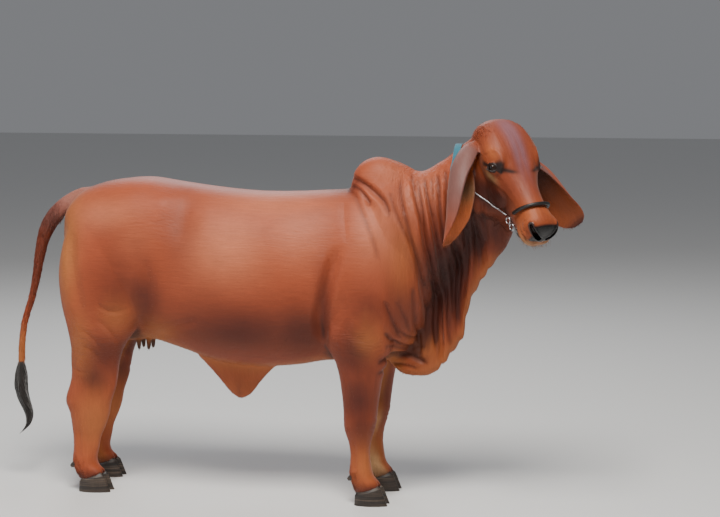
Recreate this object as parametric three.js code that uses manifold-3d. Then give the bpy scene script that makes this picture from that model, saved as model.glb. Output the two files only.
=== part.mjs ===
// A young red Brahman heifer in a show halter, standing square with her head turned to her right.
// Millimetres, +Z up, +X towards her head, +Y towards her left. Her soles stand on Z = 0.
// The flesh is modelled whole from smooth forms and then parted into named pieces by thin plane cuts.
import * as THREE from "three";
import { mergeVertices } from "three/addons/utils/BufferGeometryUtils.js";
import Module from "manifold-3d";

const wasm = await Module();
wasm.setup();
const { Manifold, Mesh: SolidMesh } = wasm;

// Driving sizes
const REACH = 3000;
const GAP = 0.3;

// Cut planes
const FORELEG_CUT_Z = 492;
const HINDLEG_CUT_Z = 534;
const TAIL_CUT_X = -899;
const NECK_CUT_Q = 452;

// Head pose: the face line slopes down from the poll and the head is turned to the right
const POLL = new THREE.Vector3(741, -48, 1387);
const FACE_PITCH = THREE.MathUtils.degToRad(49);
const FACE_TURN = THREE.MathUtils.degToRad(47);
const FACE_ROLL = THREE.MathUtils.degToRad(3);

// Small vector helpers
const vec = (x, y, z) => new THREE.Vector3(x, y, z);
const lerp = THREE.MathUtils.lerp;
const bump = (value, centre, spread) => Math.exp(-(((value - centre) / spread) ** 2));
const rise = (value, from, to) => {
  const share = THREE.MathUtils.clamp((value - from) / (to - from), 0, 1);
  return share * share * (3 - 2 * share);
};

// A table of named sizes that change smoothly with its first column
function smoothTable(columns, rows) {
  const names = columns.split(" ");
  const at = new Float32Array(rows.map((row) => row[0]));
  const values = new Float32Array(rows.flatMap((row) => row.slice(1)));
  const curve = new THREE.CubicInterpolant(at, values, names.length - 1);
  const sizes = (where) => {
    const found = curve.evaluate(THREE.MathUtils.clamp(where, at[0], at[at.length - 1]));
    return Object.fromEntries(names.slice(1).map((name, i) => [name, found[i]]));
  };
  sizes.from = rows[0][0];
  sizes.to = rows[rows.length - 1][0];
  return sizes;
}

// Turns a closed geometry into a solid, whichever way its faces point
function solidOf(geometry) {
  const bare = geometry.clone();
  bare.deleteAttribute("normal");
  bare.deleteAttribute("uv");
  const merged = mergeVertices(bare, 1e-3);
  const triVerts = new Uint32Array(merged.index.array);
  const vertProperties = merged.attributes.position.array;
  const made = new Manifold(new SolidMesh({ numProp: 3, vertProperties, triVerts }));
  if (made.volume() > 0) return made;
  triVerts.reverse();
  return new Manifold(new SolidMesh({ numProp: 3, vertProperties, triVerts }));
}

// Skins a list of closed rings of points, with a fan over each end
function loft(rings) {
  const round = rings[0].length;
  const points = rings.flat();
  const faces = [];
  for (let i = 0; i + 1 < rings.length; i += 1) {
    for (let j = 0; j < round; j += 1) {
      const a = i * round + j;
      const b = i * round + ((j + 1) % round);
      faces.push(a, b, a + round, b, b + round, a + round);
    }
  }
  for (const [ring, flip] of [[0, true], [rings.length - 1, false]]) {
    const middle = rings[ring].reduce((sum, p) => sum.add(p), vec(0, 0, 0)).divideScalar(round);
    const centre = points.push(middle) - 1;
    for (let j = 0; j < round; j += 1) {
      const a = ring * round + j;
      const b = ring * round + ((j + 1) % round);
      faces.push(...(flip ? [b, a, centre] : [a, b, centre]));
    }
  }
  const geometry = new THREE.BufferGeometry().setFromPoints(points);
  geometry.setIndex(faces);
  return solidOf(geometry);
}

const join = (pieces) => Manifold.union(pieces);
const power = (value, exponent) => Math.sign(value) * Math.abs(value) ** exponent;

// Evenly spaced places, closer together near the given end
const spread = (from, to, count) => Array.from({ length: count }, (_, i) => lerp(from, to, i / (count - 1)));

// An ellipsoid, turned by a basis matrix if one is given
function egg(centre, radii, basis, round = 20) {
  const ball = new THREE.SphereGeometry(1, round, Math.round(round * 0.7));
  ball.scale(radii.x, radii.y, radii.z);
  if (basis) ball.applyMatrix4(basis);
  ball.translate(centre.x, centre.y, centre.z);
  return solidOf(ball);
}

// The half space in front of a plane through a point, as one very large block
function halfSpace(point, normal) {
  const block = new THREE.BoxGeometry(2 * REACH, 2 * REACH, 2 * REACH);
  block.translate(0, 0, REACH);
  const turn = new THREE.Quaternion().setFromUnitVectors(vec(0, 0, 1), normal.clone().normalize());
  block.applyQuaternion(turn);
  block.translate(point.x, point.y, point.z);
  return solidOf(block);
}

// The space in front of several planes, each moved along its normal
function region(planes, shift) {
  const halves = planes.map(([point, normal]) => {
    const out = normal.clone().normalize();
    return halfSpace(point.clone().addScaledVector(out, shift), out);
  });
  return Manifold.intersection(halves);
}

// Parts a solid at the walls of a region, leaving the gap: [what is inside, what is outside]
function part(body, planes) {
  return [body.intersect(region(planes, GAP / 2)), body.subtract(region(planes, -GAP / 2))];
}

// The largest closed piece, without any scrap that a cut left
function largest(body) {
  return body.decompose().sort((a, b) => b.volume() - a.volume())[0];
}

// Body: upright sections along X, from the buttocks to the point of the chest
const bodySizes = smoothTable("x top low half wide flat full", [
  [-892, 1004, 800, 44, 930, 2.0, 2.0],
  [-872, 1060, 700, 96, 950, 2.1, 2.0],
  [-830, 1106, 610, 140, 950, 2.2, 2.0],
  [-740, 1143, 560, 178, 940, 2.3, 2.0],
  [-640, 1160, 552, 196, 930, 2.5, 2.0],
  [-560, 1164, 560, 203, 900, 2.5, 2.0],
  [-450, 1150, 532, 207, 850, 2.2, 2.1],
  [-300, 1131, 488, 219, 810, 2.1, 2.15],
  [-150, 1119, 473, 225, 800, 2.05, 2.2],
  [0, 1120, 484, 219, 800, 2.0, 2.15],
  [110, 1126, 503, 200, 800, 2.0, 2.0],
  [220, 1132, 505, 190, 800, 2.0, 1.9],
  [320, 1126, 508, 182, 800, 2.0, 1.9],
  [400, 1090, 545, 166, 800, 2.0, 1.9],
  [455, 1010, 625, 132, 800, 2.0, 1.9],
  [488, 930, 715, 74, 800, 2.0, 2.0],
]);

function bodySection(x, round) {
  const s = bodySizes(x);
  return Array.from({ length: round }, (_, i) => {
    const turn = (2 * Math.PI * i) / round;
    const c = Math.cos(turn);
    const upper = c > 0;
    const shape = upper ? s.flat : s.full;
    const z = s.wide + power(c, 2 / shape) * (upper ? s.top - s.wide : s.wide - s.low);
    return vec(x, power(Math.sin(turn), 2 / shape) * s.half, z);
  });
}

function makeBody() {
  const places = [-892, -884, -868, -845, ...spread(-800, 430, 13), 460, 478, 488];
  return loft(places.map((x) => bodySection(x, 24)));
}

// Hump: a crest over the shoulders that leans back over a crease behind it
const humpSizes = smoothTable("x top half", [
  [190, 1120, 14],
  [202, 1172, 44],
  [228, 1214, 62],
  [265, 1239, 72],
  [306, 1247, 76],
  [360, 1233, 74],
  [410, 1210, 66],
  [470, 1170, 46],
]);

function makeHump() {
  const base = 1030;
  return loft(
    spread(humpSizes.from, humpSizes.to, 12).map((x) => {
      const s = humpSizes(x);
      return Array.from({ length: 18 }, (_, i) => {
        const turn = (2 * Math.PI * i) / 18;
        const z = lerp(base, s.top, 0.5 + 0.5 * power(Math.cos(turn), 0.9));
        const skirt = 1 + 0.3 * rise(z, 1170, 1080);
        const lean = 0.12 * (z - 1150) * rise(x, 420, 230);
        return vec(x - lean, power(Math.sin(turn), 0.9) * s.half * skirt, z);
      });
    }),
  );
}

// Neck and dewlap: leaning sections, thick above and a hanging sheet of skin below
// q is where the leaning plane of a section meets the level of the withers
const NECK_LEAN = 0.2;
const NECK_LEVEL = 1200;
const PLEAT_PITCH = 40;
const PLEAT_PHASE = 434;
const PLEAT_KNEE_Z = 930;
const neckSizes = smoothTable("q top hem throat half edge side", [
  [196, 1080, 500, 800, 80, 12, 0],
  [235, 1120, 463, 800, 116, 20, 0],
  [290, 1160, 455, 780, 146, 24, 0],
  [345, 1192, 464, 760, 154, 22, 0],
  [400, 1203, 508, 770, 148, 18, 0],
  [451, 1197, 563, 805, 130, 17, -1],
  [487, 1211, 606, 845, 115, 17, -4],
  [514, 1226, 680, 880, 106, 17, -7],
  [550, 1245, 752, 925, 96, 17, -12],
  [601, 1281, 820, 975, 88, 18, -20],
  [640, 1307, 862, 1006, 85, 19, -27],
  [671, 1325, 896, 1030, 83, 21, -33],
  [710, 1338, 936, 1065, 80, 26, -41],
  [745, 1330, 990, 1110, 70, 34, -50],
]);

function neckSection(q, half, extra) {
  const s = neckSizes(q);
  const centre = (z) => s.side * rise(z, 650, 1100);
  const side = (share, way) => {
    const z = lerp(s.top + extra, s.hem - extra, share);
    const height = THREE.MathUtils.clamp((z - s.throat) / (s.top - s.throat), 0, 1);
    const crest = Math.sqrt(Math.max(0, 1 - ((height - 0.42) / 0.58) ** 2));
    const neck = s.half * (height > 0.42 ? crest : lerp(0.62, 1, Math.sin((height / 0.42) * 1.5708)));
    const hang = rise(z, s.throat + 60, s.throat - 60);
    const low = Math.min(1, (z - s.hem) / 34);
    const skin = s.edge * Math.sqrt(Math.max(0.04, low * (2 - low)));
    const x = q - NECK_LEAN * (z - NECK_LEVEL);
    const line = x + NECK_LEAN * (Math.max(z, PLEAT_KNEE_Z) - NECK_LEVEL);
    const pleat = Math.cos((2 * Math.PI * (line - PLEAT_PHASE)) / PLEAT_PITCH);
    const wander = Math.sin((Math.PI * (line - PLEAT_PHASE)) / PLEAT_PITCH);
    const along = rise(q, 380, 440) * rise(q, 735, 690);
    const depth = (4.5 + 2.5 * hang) * along * rise(z, s.top, s.top - 90);
    const sway = 12 * wander * hang * rise(q, 300, 420) * rise(q, 700, 620);
    const y = way * (Math.max(7, lerp(neck, skin, hang) + depth * pleat) + extra) + sway + centre(z);
    return vec(x, y, z);
  };
  const shares = Array.from({ length: half + 1 }, (_, i) => (1 - Math.cos((Math.PI * i) / half)) / 2);
  const right = shares.map((share) => side(share, -1));
  const left = shares.slice(1, -1).reverse().map((share) => side(share, 1));
  right[0].y = centre(s.top);
  return [...right, ...left];
}

function makeNeck(extra) {
  const places = [...spread(196, 395, 6).slice(0, -1), ...spread(395, 700, 29), 722, 745];
  return loft(places.map((q) => neckSection(q, 12, extra)));
}

// Legs: level sections from inside the body down to the coronet
const foreSizes = smoothTable("z x aft fore side half", [
  [44, 282, 42, 46, 118, 44],
  [62, 277, 44, 46, 118, 44],
  [84, 266, 44, 42, 118, 42],
  [104, 259, 45, 40, 119, 40],
  [124, 256, 43, 38, 120, 39],
  [150, 254, 39, 36, 121, 34],
  [190, 252, 36, 35, 122, 31],
  [235, 250, 42, 43, 123, 36],
  [275, 251, 56, 54, 124, 45],
  [310, 253, 60, 60, 125, 48],
  [345, 255, 63, 61, 126, 45],
  [400, 257, 68, 66, 127, 49],
  [460, 257, 76, 76, 128, 57],
  [520, 257, 94, 92, 126, 66],
  [590, 252, 128, 118, 121, 76],
  [680, 262, 132, 128, 118, 80],
  [790, 276, 118, 130, 112, 82],
  [920, 282, 96, 102, 98, 76],
  [1040, 276, 60, 56, 70, 50],
  [1090, 272, 30, 28, 50, 28],
]);

const hindSizes = smoothTable("z x aft fore side half", [
  [44, -764, 42, 46, 122, 43],
  [62, -769, 44, 46, 122, 43],
  [84, -784, 46, 42, 122, 42],
  [104, -793, 47, 45, 122, 40],
  [124, -797, 44, 47, 122, 38],
  [160, -795, 43, 54, 122, 33],
  [205, -791, 48, 60, 122, 31],
  [250, -784, 60, 73, 123, 36],
  [295, -778, 72, 81, 124, 43],
  [335, -772, 92, 82, 125, 46],
  [368, -766, 92, 88, 126, 43],
  [400, -758, 84, 90, 127, 40],
  [440, -752, 86, 91, 128, 45],
  [490, -744, 94, 90, 129, 56],
  [545, -734, 104, 98, 128, 68],
  [610, -722, 130, 128, 124, 80],
  [700, -716, 160, 146, 116, 92],
  [820, -722, 166, 138, 104, 100],
  [940, -730, 138, 110, 90, 94],
  [1040, -735, 96, 80, 74, 76],
  [1090, -738, 50, 46, 58, 44],
]);

// The left hind leg stands a little further back than the right one
const HIND_STEP_BACK = 38;
const legShift = (sizes, way, z) => (sizes === hindSizes && way > 0 ? -HIND_STEP_BACK * rise(z, 780, 430) : 0);

function legSection(sizes, z, way, round) {
  const s = sizes(z);
  return Array.from({ length: round }, (_, i) => {
    const turn = (2 * Math.PI * i) / round;
    const c = Math.cos(turn);
    const x = s.x + legShift(sizes, way, z) + power(c, 0.92) * (c > 0 ? s.fore : s.aft);
    return vec(x, way * s.side + power(Math.sin(turn), 0.92) * s.half, z);
  });
}

function makeLeg(sizes, way) {
  const low = [40, 66, 90, 110, 130, 165, 205, 242, 272, 302, 332];
  const high = [364, 400, 450, 510, 590, 690, 810, 930, 1030, 1090];
  return loft([...low, ...high].map((z) => legSection(sizes, z, way, 14)));
}

// Navel flap: a hanging fold of loose skin in the middle of the belly
const flapSizes = smoothTable("x low half", [
  [-392, 500, 10],
  [-350, 462, 22],
  [-300, 408, 28],
  [-262, 366, 30],
  [-228, 346, 30],
  [-190, 362, 28],
  [-150, 410, 26],
  [-100, 462, 22],
  [-60, 490, 12],
]);

function makeNavelFlap() {
  const top = 540;
  return loft(
    spread(flapSizes.from, flapSizes.to, 12).map((x) => {
      const s = flapSizes(x);
      return Array.from({ length: 12 }, (_, i) => {
        const turn = (2 * Math.PI * i) / 12;
        const share = 0.5 - 0.5 * Math.cos(turn);
        const z = lerp(top, s.low, share);
        const wide = s.half * lerp(1.7, 0.8, share) * power(Math.sin(turn), 0.75);
        const dimple = 1 - 0.35 * bump(x, -222, 14) * rise(z, 440, 380);
        return vec(x, wide * dimple, z);
      });
    }),
  );
}

// Teats: four small cones between the thighs
function makeTeats() {
  return [-1, 1].flatMap((way) =>
    [-574, -612].map((x) => {
      const cone = new THREE.CylinderGeometry(11, 6, 60, 6);
      cone.rotateX(Math.PI / 2);
      cone.translate(x, way * 26, 548);
      return solidOf(cone);
    }),
  );
}

// A tube of round sections along a smooth path, with the radius given for each share of its length
function pathFrames(curve, count, lead) {
  return spread(0, 1, count).map((share) => {
    const at = curve.getPointAt(share);
    const along = curve.getTangentAt(share);
    const across = lead.clone().addScaledVector(along, -lead.dot(along)).normalize();
    const out = along.clone().cross(across);
    return { share, at, along, across, out };
  });
}

function tube(points, radius, count, round, lead = vec(0, 1, 0)) {
  const curve = new THREE.CatmullRomCurve3(points, false, "centripetal");
  return loft(
    pathFrames(curve, count, lead).map((f) => {
      const r = radius(f.share);
      return Array.from({ length: round }, (_, j) => {
        const turn = (2 * Math.PI * j) / round;
        return f.at.clone().addScaledVector(f.across, r * Math.cos(turn)).addScaledVector(f.out, r * Math.sin(turn));
      });
    }),
  );
}

// Tail: it leaves the rump, swings back clear of the thighs and hangs to the switch
const TAIL_PATH = [
  vec(-770, 0, 1092), vec(-822, 0, 1094), vec(-869, 0, 1076), vec(-922, -1, 1037), vec(-962, -2, 992),
  vec(-990, -3, 934), vec(-1008, -4, 862), vec(-1021, -5, 790), vec(-1041, -6, 705), vec(-1071, -7, 613),
  vec(-1084, -8, 527), vec(-1088, -8, 452),
];
const tailSizes = smoothTable("share radius", [
  [0, 30],
  [0.08, 29],
  [0.2, 30],
  [0.3, 28],
  [0.4, 22],
  [0.52, 17],
  [0.66, 13],
  [0.82, 12],
  [1, 13],
]);

function makeTail() {
  return tube(TAIL_PATH, (share) => tailSizes(share).radius, 24, 10);
}

// Head, in its own frame: x down the face from the poll, y to the left, z out of the forehead
const headFrame = new THREE.Matrix4()
  .makeRotationZ(-FACE_TURN)
  .multiply(new THREE.Matrix4().makeRotationY(FACE_PITCH))
  .multiply(new THREE.Matrix4().makeRotationX(FACE_ROLL))
  .setPosition(POLL);
const headTurn = new THREE.Matrix4().extractRotation(headFrame);
const inHead = (x, y, z) => vec(x, y, z).applyMatrix4(headFrame);
const headWay = (x, y, z) => vec(x, y, z).transformDirection(headTurn);

const headSizes = smoothTable("x front back half wide flat full", [
  [-30, -48, -100, 26, -75, 2.0, 2.0],
  [-22, -28, -122, 54, -72, 2.2, 2.0],
  [0, -4, -144, 80, -66, 2.4, 2.0],
  [40, 12, -164, 96, -56, 2.5, 1.9],
  [90, 19, -180, 105, -46, 2.5, 1.8],
  [140, 16, -192, 105, -46, 2.5, 1.75],
  [185, 4, -198, 94, -54, 2.4, 1.75],
  [230, -6, -197, 73, -62, 2.2, 1.75],
  [280, -12, -190, 55, -66, 2.1, 1.85],
  [330, -15, -176, 50, -70, 2.15, 2.0],
  [380, -16, -162, 53, -70, 2.3, 2.3],
  [420, -18, -151, 59, -68, 2.5, 2.4],
  [445, -27, -141, 57, -70, 2.4, 2.4],
  [458, -41, -126, 46, -76, 2.2, 2.2],
  [464, -56, -110, 30, -82, 2.0, 2.0],
]);

function makeHeadShape(extra) {
  const places = [-30, -24, -8, 20, 60, 100, 142, 184, 226, 276, 340];
  const muzzle = [394, 424, 444, 457, 464];
  const round = 22;
  const base = loft(
    [...places, ...muzzle].map((x) => {
      const s = headSizes(x);
      return Array.from({ length: round }, (_, i) => {
        const turn = (2 * Math.PI * i) / round;
        const c = Math.cos(turn);
        const outer = c > 0;
        const shape = outer ? s.flat : s.full;
        const reach = (outer ? s.front - s.wide : s.wide - s.back) + extra;
        return inHead(x, power(Math.sin(turn), 2 / shape) * (s.half + extra), s.wide + power(c, 2 / shape) * reach);
      });
    }),
  );
  const sides = [-1, 1].flatMap((way) => [
    egg(inHead(150, way * 70, -38), vec(62 + extra, 36 + extra, 46 + extra), headTurn, 10),
    egg(inHead(188, way * 52, -126), vec(94 + extra, 31 + extra, 62 + extra), headTurn, 10),
    egg(inHead(420, way * 36, -60), vec(38 + extra, 27 + extra, 35 + extra), headTurn, 8),
  ]);
  return join([base, ...sides]);
}

// Eyes, lids and sockets
const EYE_RADIUS = 19;
const EYE_AT = { x: 174, y: 85, z: -47 };
const FISSURE_TILT = THREE.MathUtils.degToRad(33);

function eyeFrame(way) {
  const centre = inHead(EYE_AT.x, way * EYE_AT.y, EYE_AT.z);
  const out = headWay(0.1, way * 0.93, 0.34);
  const slit = headWay(Math.cos(FISSURE_TILT), 0, Math.sin(FISSURE_TILT));
  const along = slit.addScaledVector(out, -slit.dot(out)).normalize();
  const up = out.clone().cross(along).multiplyScalar(way);
  return { centre, basis: new THREE.Matrix4().makeBasis(along, up, out) };
}

function eyeBall(way, extra) {
  return egg(eyeFrame(way).centre, vec(1, 1, 1).multiplyScalar(EYE_RADIUS + extra), null, 12);
}

function lidRing(way, extra) {
  const { centre, basis } = eyeFrame(way);
  const ring = new THREE.SphereGeometry(1, 12, 7);
  ring.scale(32 + extra, 25 + extra, 24.5 + extra);
  if (way > 0) ring.scale(1, -1, 1);
  return solidOf(ring.applyMatrix4(basis).translate(centre.x, centre.y, centre.z));
}

// The almond opening between the lids, cut outwards from the eyeball
function eyeOpening(way) {
  const { centre, basis } = eyeFrame(way);
  const outline = new THREE.Shape();
  outline.moveTo(-18, 0);
  outline.quadraticCurveTo(-5, way * 17, 22, way * -3);
  outline.quadraticCurveTo(2, way * -16, -18, 0);
  const prism = new THREE.ExtrudeGeometry(outline, { depth: 40, bevelEnabled: false, curveSegments: 6 });
  return solidOf(prism.applyMatrix4(basis).translate(centre.x, centre.y, centre.z));
}

// Nostrils: hollows that turn outwards from the front of the muzzle
function nostril(way) {
  const path = [
    inHead(480, way * 25, -60), inHead(457, way * 29, -55), inHead(440, way * 35, -48), inHead(428, way * 42, -40),
  ];
  return tube(path, (share) => lerp(12, 5, share), 6, 8, headWay(0, 1, 0));
}

// The line of the mouth: a thin curved slot that parts the lips back to the cheek
function mouthLine() {
  const outline = new THREE.Shape();
  outline.moveTo(490, -96);
  outline.lineTo(452, -97);
  outline.quadraticCurveTo(400, -97, 350, -112);
  outline.lineTo(352, -116);
  outline.quadraticCurveTo(400, -102, 452, -102);
  outline.lineTo(490, -101);
  const slot = new THREE.ExtrudeGeometry(outline, { depth: 180, bevelEnabled: false, curveSegments: 5 });
  slot.rotateX(Math.PI / 2);
  slot.translate(0, 90, 0);
  const core = egg(inHead(392, 0, -100), vec(64, 47, 40), headTurn, 14);
  return solidOf(slot.applyMatrix4(headFrame)).subtract(core);
}

// Ears: long pendulous cups. width is measured over the curve and curl is how far round it bends
const earSizes = smoothTable("share width curl thick", [
  [0, 96, 250, 15],
  [0.1, 124, 235, 11],
  [0.3, 204, 222, 8],
  [0.52, 214, 195, 7],
  [0.72, 190, 150, 6.5],
  [0.87, 150, 95, 6],
  [0.96, 98, 60, 5],
  [1, 44, 34, 4],
]);
const EAR_ROOT = 0.17;
// The middle line of each ear, the way its back faces at the root and at the tip, how far the cup
// closes, and how broad its outer half is
const EARS = {
  right: {
    path: [
      inHead(38, -60, -88), vec(634, -106, 1286), vec(609, -152, 1220), vec(602, -186, 1138),
      vec(592, -194, 1054), vec(568, -188, 952),
    ],
    backs: [vec(-0.6, -0.15, 0.75), vec(-0.968, 0.25, 0)],
    open: 1,
    breadth: 1,
  },
  left: {
    path: [
      inHead(40, 58, -84), vec(818, 33, 1232), vec(866, 55, 1180), vec(906, 74, 1124),
      vec(950, 92, 1068), vec(1004, 112, 1006),
    ],
    backs: [vec(-0.1, 0.6, 0.75), vec(0.15, 0.96, 0.2)],
    open: 0.88,
    breadth: 0.86,
  },
};

function earRings(ear, from, to, count) {
  const curve = new THREE.CatmullRomCurve3(ear.path, false, "centripetal");
  const across = 8;
  return spread(from, to, count).map((share) => {
    const s = earSizes(share);
    const at = curve.getPointAt(share);
    const along = curve.getTangentAt(share);
    const back = ear.backs[0].clone().lerp(ear.backs[1], rise(share, 0, 0.6));
    const out = back.addScaledVector(along, -back.dot(along)).normalize();
    const wide = along.clone().cross(out);
    const bend = THREE.MathUtils.degToRad(s.curl) * lerp(1, ear.open, rise(share, 0.1, 0.35));
    const radius = (s.width * lerp(1, ear.breadth, rise(share, 0.5, 0.9))) / bend;
    const rim = (u, inset) => {
      const turn = (u * bend) / 2;
      const reach = radius - inset;
      return at
        .clone()
        .addScaledVector(wide, reach * Math.sin(turn))
        .addScaledVector(out, reach * Math.cos(turn) - radius * Math.cos(bend / 4));
    };
    const outer = spread(-1, 1, across).map((u) => rim(u, 0));
    const inner = spread(0.96, -0.96, across).map((u) => rim(u, Math.max(2, s.thick * (1 - 0.6 * u ** 4))));
    return [...outer, ...inner];
  });
}

// Feet: two claws a side with flat soles, and two dew claws behind the fetlock
const CORONET_HEIGHT = 58;
const CORONET_SLOPE = 0.3;
const FEET = {
  foreleg_right: { x: 282, y: -118, sizes: foreSizes },
  foreleg_left: { x: 282, y: 118, sizes: foreSizes },
  hindleg_right: { x: -764, y: -122, sizes: hindSizes },
  hindleg_left: { x: -764 - HIND_STEP_BACK, y: 122, sizes: hindSizes },
};
const coronetPlane = (foot, way) => [
  vec(foot.x, foot.y, CORONET_HEIGHT),
  vec(-CORONET_SLOPE, 0, 1).multiplyScalar(way),
];

function makeClaw(foot, way) {
  const rings = [0, 18, 48, 82].map((z) => {
    const share = z / 82;
    const toe = lerp(74, 30, share);
    const heel = lerp(48, 44, share);
    const half = lerp(23.5, 21.5, share);
    return Array.from({ length: 12 }, (_, i) => {
      const turn = (2 * Math.PI * i) / 12;
      const c = Math.cos(turn);
      const s = Math.sin(turn);
      const narrow = c > 0 ? 1 - 0.3 * c * c : 1;
      const inside = s * way < 0 ? 0.82 : 1;
      const middle = foot.y + way * (lerp(24, 22.5, share) - 3 * Math.max(0, c));
      return vec(foot.x + (c > 0 ? toe : heel) * power(c, 0.9), middle + half * narrow * inside * power(s, 0.85), z);
    });
  });
  return loft(rings).intersect(region([coronetPlane(foot, -1)], GAP / 2));
}

function dewClaw(foot, way, extra) {
  const s = foot.sizes(104);
  const heel = s.x + legShift(foot.sizes, Math.sign(foot.y), 104) - s.aft;
  const root = vec(heel + 16, foot.y + way * 18, 106);
  const tip = vec(heel - 9, foot.y + way * 21, 90);
  const path = [root, root.clone().lerp(tip, 0.55), tip];
  return tube(path, (share) => lerp(12, 6, share ** 2) + extra, 4, 6);
}

// Tail switch: flat tapered locks that hang along a swinging line and overlap
const SWITCH_PATH = [
  vec(-1088, -8, 452 - GAP), vec(-1092, -8, 405), vec(-1092, -8, 358), vec(-1087, -8, 325), vec(-1074, -8, 288),
  vec(-1061, -8, 250), vec(-1066, -8, 215), vec(-1085, -8, 190), vec(-1099, -8, 176),
];
const switchSizes = smoothTable("share half", [
  [0, 12],
  [0.15, 24],
  [0.35, 27],
  [0.6, 21],
  [0.8, 13],
  [1, 3],
]);

function makeSwitch() {
  const curve = new THREE.CatmullRomCurve3(SWITCH_PATH, false, "centripetal");
  const frames = pathFrames(curve, 41, vec(0, 1, 0));
  const at = (share, turn, reach) => {
    const f = frames[Math.round(Math.min(1, share) * 40)];
    return f.at.clone().addScaledVector(f.across, reach * Math.cos(turn)).addScaledVector(f.out, reach * Math.sin(turn));
  };
  const core = tube(SWITCH_PATH, (share) => Math.max(3, 0.6 * switchSizes(share).half), 9, 6);
  const locks = [0, 1, 2].flatMap((tier) =>
    Array.from({ length: 3 }, (_, i) => {
      const turn = (2 * Math.PI * (i + 0.5 * tier)) / 3;
      const start = 0.02 + 0.2 * tier;
      const end = Math.min(1, start + 0.5 + 0.06 * ((2 * i + tier) % 3));
      const points = spread(0, 1, 4).map((share) => {
        const along = lerp(start, end, share);
        const reach = switchSizes(along).half * (0.3 + 0.6 * Math.sin(Math.PI * (0.1 + 0.8 * share)));
        return at(along, turn + 0.35 * share, reach);
      });
      const middle = at((start + end) / 2, 0, 0);
      const outward = points[1].clone().sub(middle).normalize();
      return loft(
        pathFrames(new THREE.CatmullRomCurve3(points), 4, outward).map((f) => {
          const taper = Math.sqrt(Math.max(0.02, 1 - f.share ** 2));
          return [[8, 0], [0, 19], [-8, 0], [0, -19]].map(([thick, wide]) =>
            f.at.clone().addScaledVector(f.across, thick * taper).addScaledVector(f.out, wide * taper),
          );
        }),
      );
    }),
  );
  const below = region([[SWITCH_PATH[0], vec(0, 0, -1)]], 0);
  return largest(join([core, ...locks]).intersect(below));
}

// Halter: a crown strap behind the ears, cheek cords, rings, a rolled noseband and a chin strap
const CROWN_WIDTH = 24;
const NOSEBAND_RADIUS = 6.5;
const NOSEBAND_TILT = 0.32;
const CORD_RADIUS = 2.5;
const CORD_LIFT = 3;
const CORD_DEPTH = 40;
const RING_AT = { x: 322, z: -160, step: 29 };
const RING_RADIUS = 12;
const RING_WIRE = 2.6;

const SKIN_REACH = 125;

// The outside of the flesh as seen from a line inside it, for things that lie against the skin
function surfaceFinder(solid) {
  const found = solid.getMesh();
  const geometry = new THREE.BufferGeometry();
  const points = new Float32Array(found.numVert * 3);
  for (let i = 0; i < found.numVert; i += 1) {
    points.set(found.vertProperties.subarray(i * found.numProp, i * found.numProp + 3), i * 3);
  }
  geometry.setAttribute("position", new THREE.BufferAttribute(points, 3));
  geometry.setIndex(new THREE.BufferAttribute(found.triVerts, 1));
  const mesh = new THREE.Mesh(geometry, new THREE.MeshBasicMaterial({ side: THREE.DoubleSide }));
  const ray = new THREE.Raycaster();
  return (inside, towards) => {
    const way = towards.clone().normalize();
    ray.set(inside.clone().addScaledVector(way, SKIN_REACH), way.clone().negate());
    const hits = ray.intersectObject(mesh, false);
    return hits.length ? hits[0].point : inside.clone();
  };
}

// A band or cord that lies against the skin: each guide is a point inside the flesh and a way out of it
function drape(find, guides, section, count, lift) {
  const halfWide = Math.max(...section.map(([wide]) => wide));
  const insides = new THREE.CatmullRomCurve3(guides.map((g) => g[0]), false, "centripetal");
  const ways = new THREE.CatmullRomCurve3(guides.map((g) => g[1].clone().normalize()), false, "centripetal");
  const shares = spread(0, 1, count);
  const first = shares.map((share) => find(insides.getPoint(share), ways.getPoint(share)));
  const rings = shares.map((share, i) => {
    const inside = insides.getPoint(share);
    const out = ways.getPoint(share).normalize();
    const along = first[Math.min(i + 1, count - 1)].clone().sub(first[Math.max(i - 1, 0)]).normalize();
    out.addScaledVector(along, -out.dot(along)).normalize();
    const across = along.clone().cross(out);
    const reach = Math.max(
      ...[-halfWide, 0, halfWide].map((wide) => {
        const start = inside.clone().addScaledVector(across, wide);
        return find(start, out).sub(start).dot(out);
      }),
    );
    const at = inside.addScaledVector(out, reach + lift);
    return section.map(([wide, high]) => at.clone().addScaledVector(across, wide).addScaledVector(out, high));
  });
  return loft(rings);
}

// The route of a taut cord through a few guides, kept clear of the flesh all along
function clearRoute(find, guides, count) {
  const ends = guides.map(([inside, out]) => find(inside, out));
  const line = new THREE.CatmullRomCurve3(ends, false, "centripetal");
  const ways = new THREE.CatmullRomCurve3(guides.map((g) => g[1].clone().normalize()), false, "centripetal");
  return spread(0, 1, count).map((share) => {
    const at = line.getPoint(share);
    const out = ways.getPoint(share).normalize();
    const inside = at.clone().addScaledVector(out, -CORD_DEPTH);
    const skin = find(inside, out).sub(inside).dot(out);
    return inside.addScaledVector(out, Math.max(skin, CORD_DEPTH) + CORD_RADIUS + CORD_LIFT);
  });
}

const flatSection = (width, thickness) => [
  [-width / 2, 0], [-width / 2, thickness], [width / 2, thickness], [width / 2, 0],
];
const roundSection = (radius, round) =>
  Array.from({ length: round }, (_, i) => {
    const turn = (-2 * Math.PI * i) / round;
    return [radius * Math.cos(turn), radius * (1 + Math.sin(turn))];
  });

// Guides that fan out round a point inside the head or neck
const fan = (centre, ways) => ways.map((way) => [centre, way]);

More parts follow.
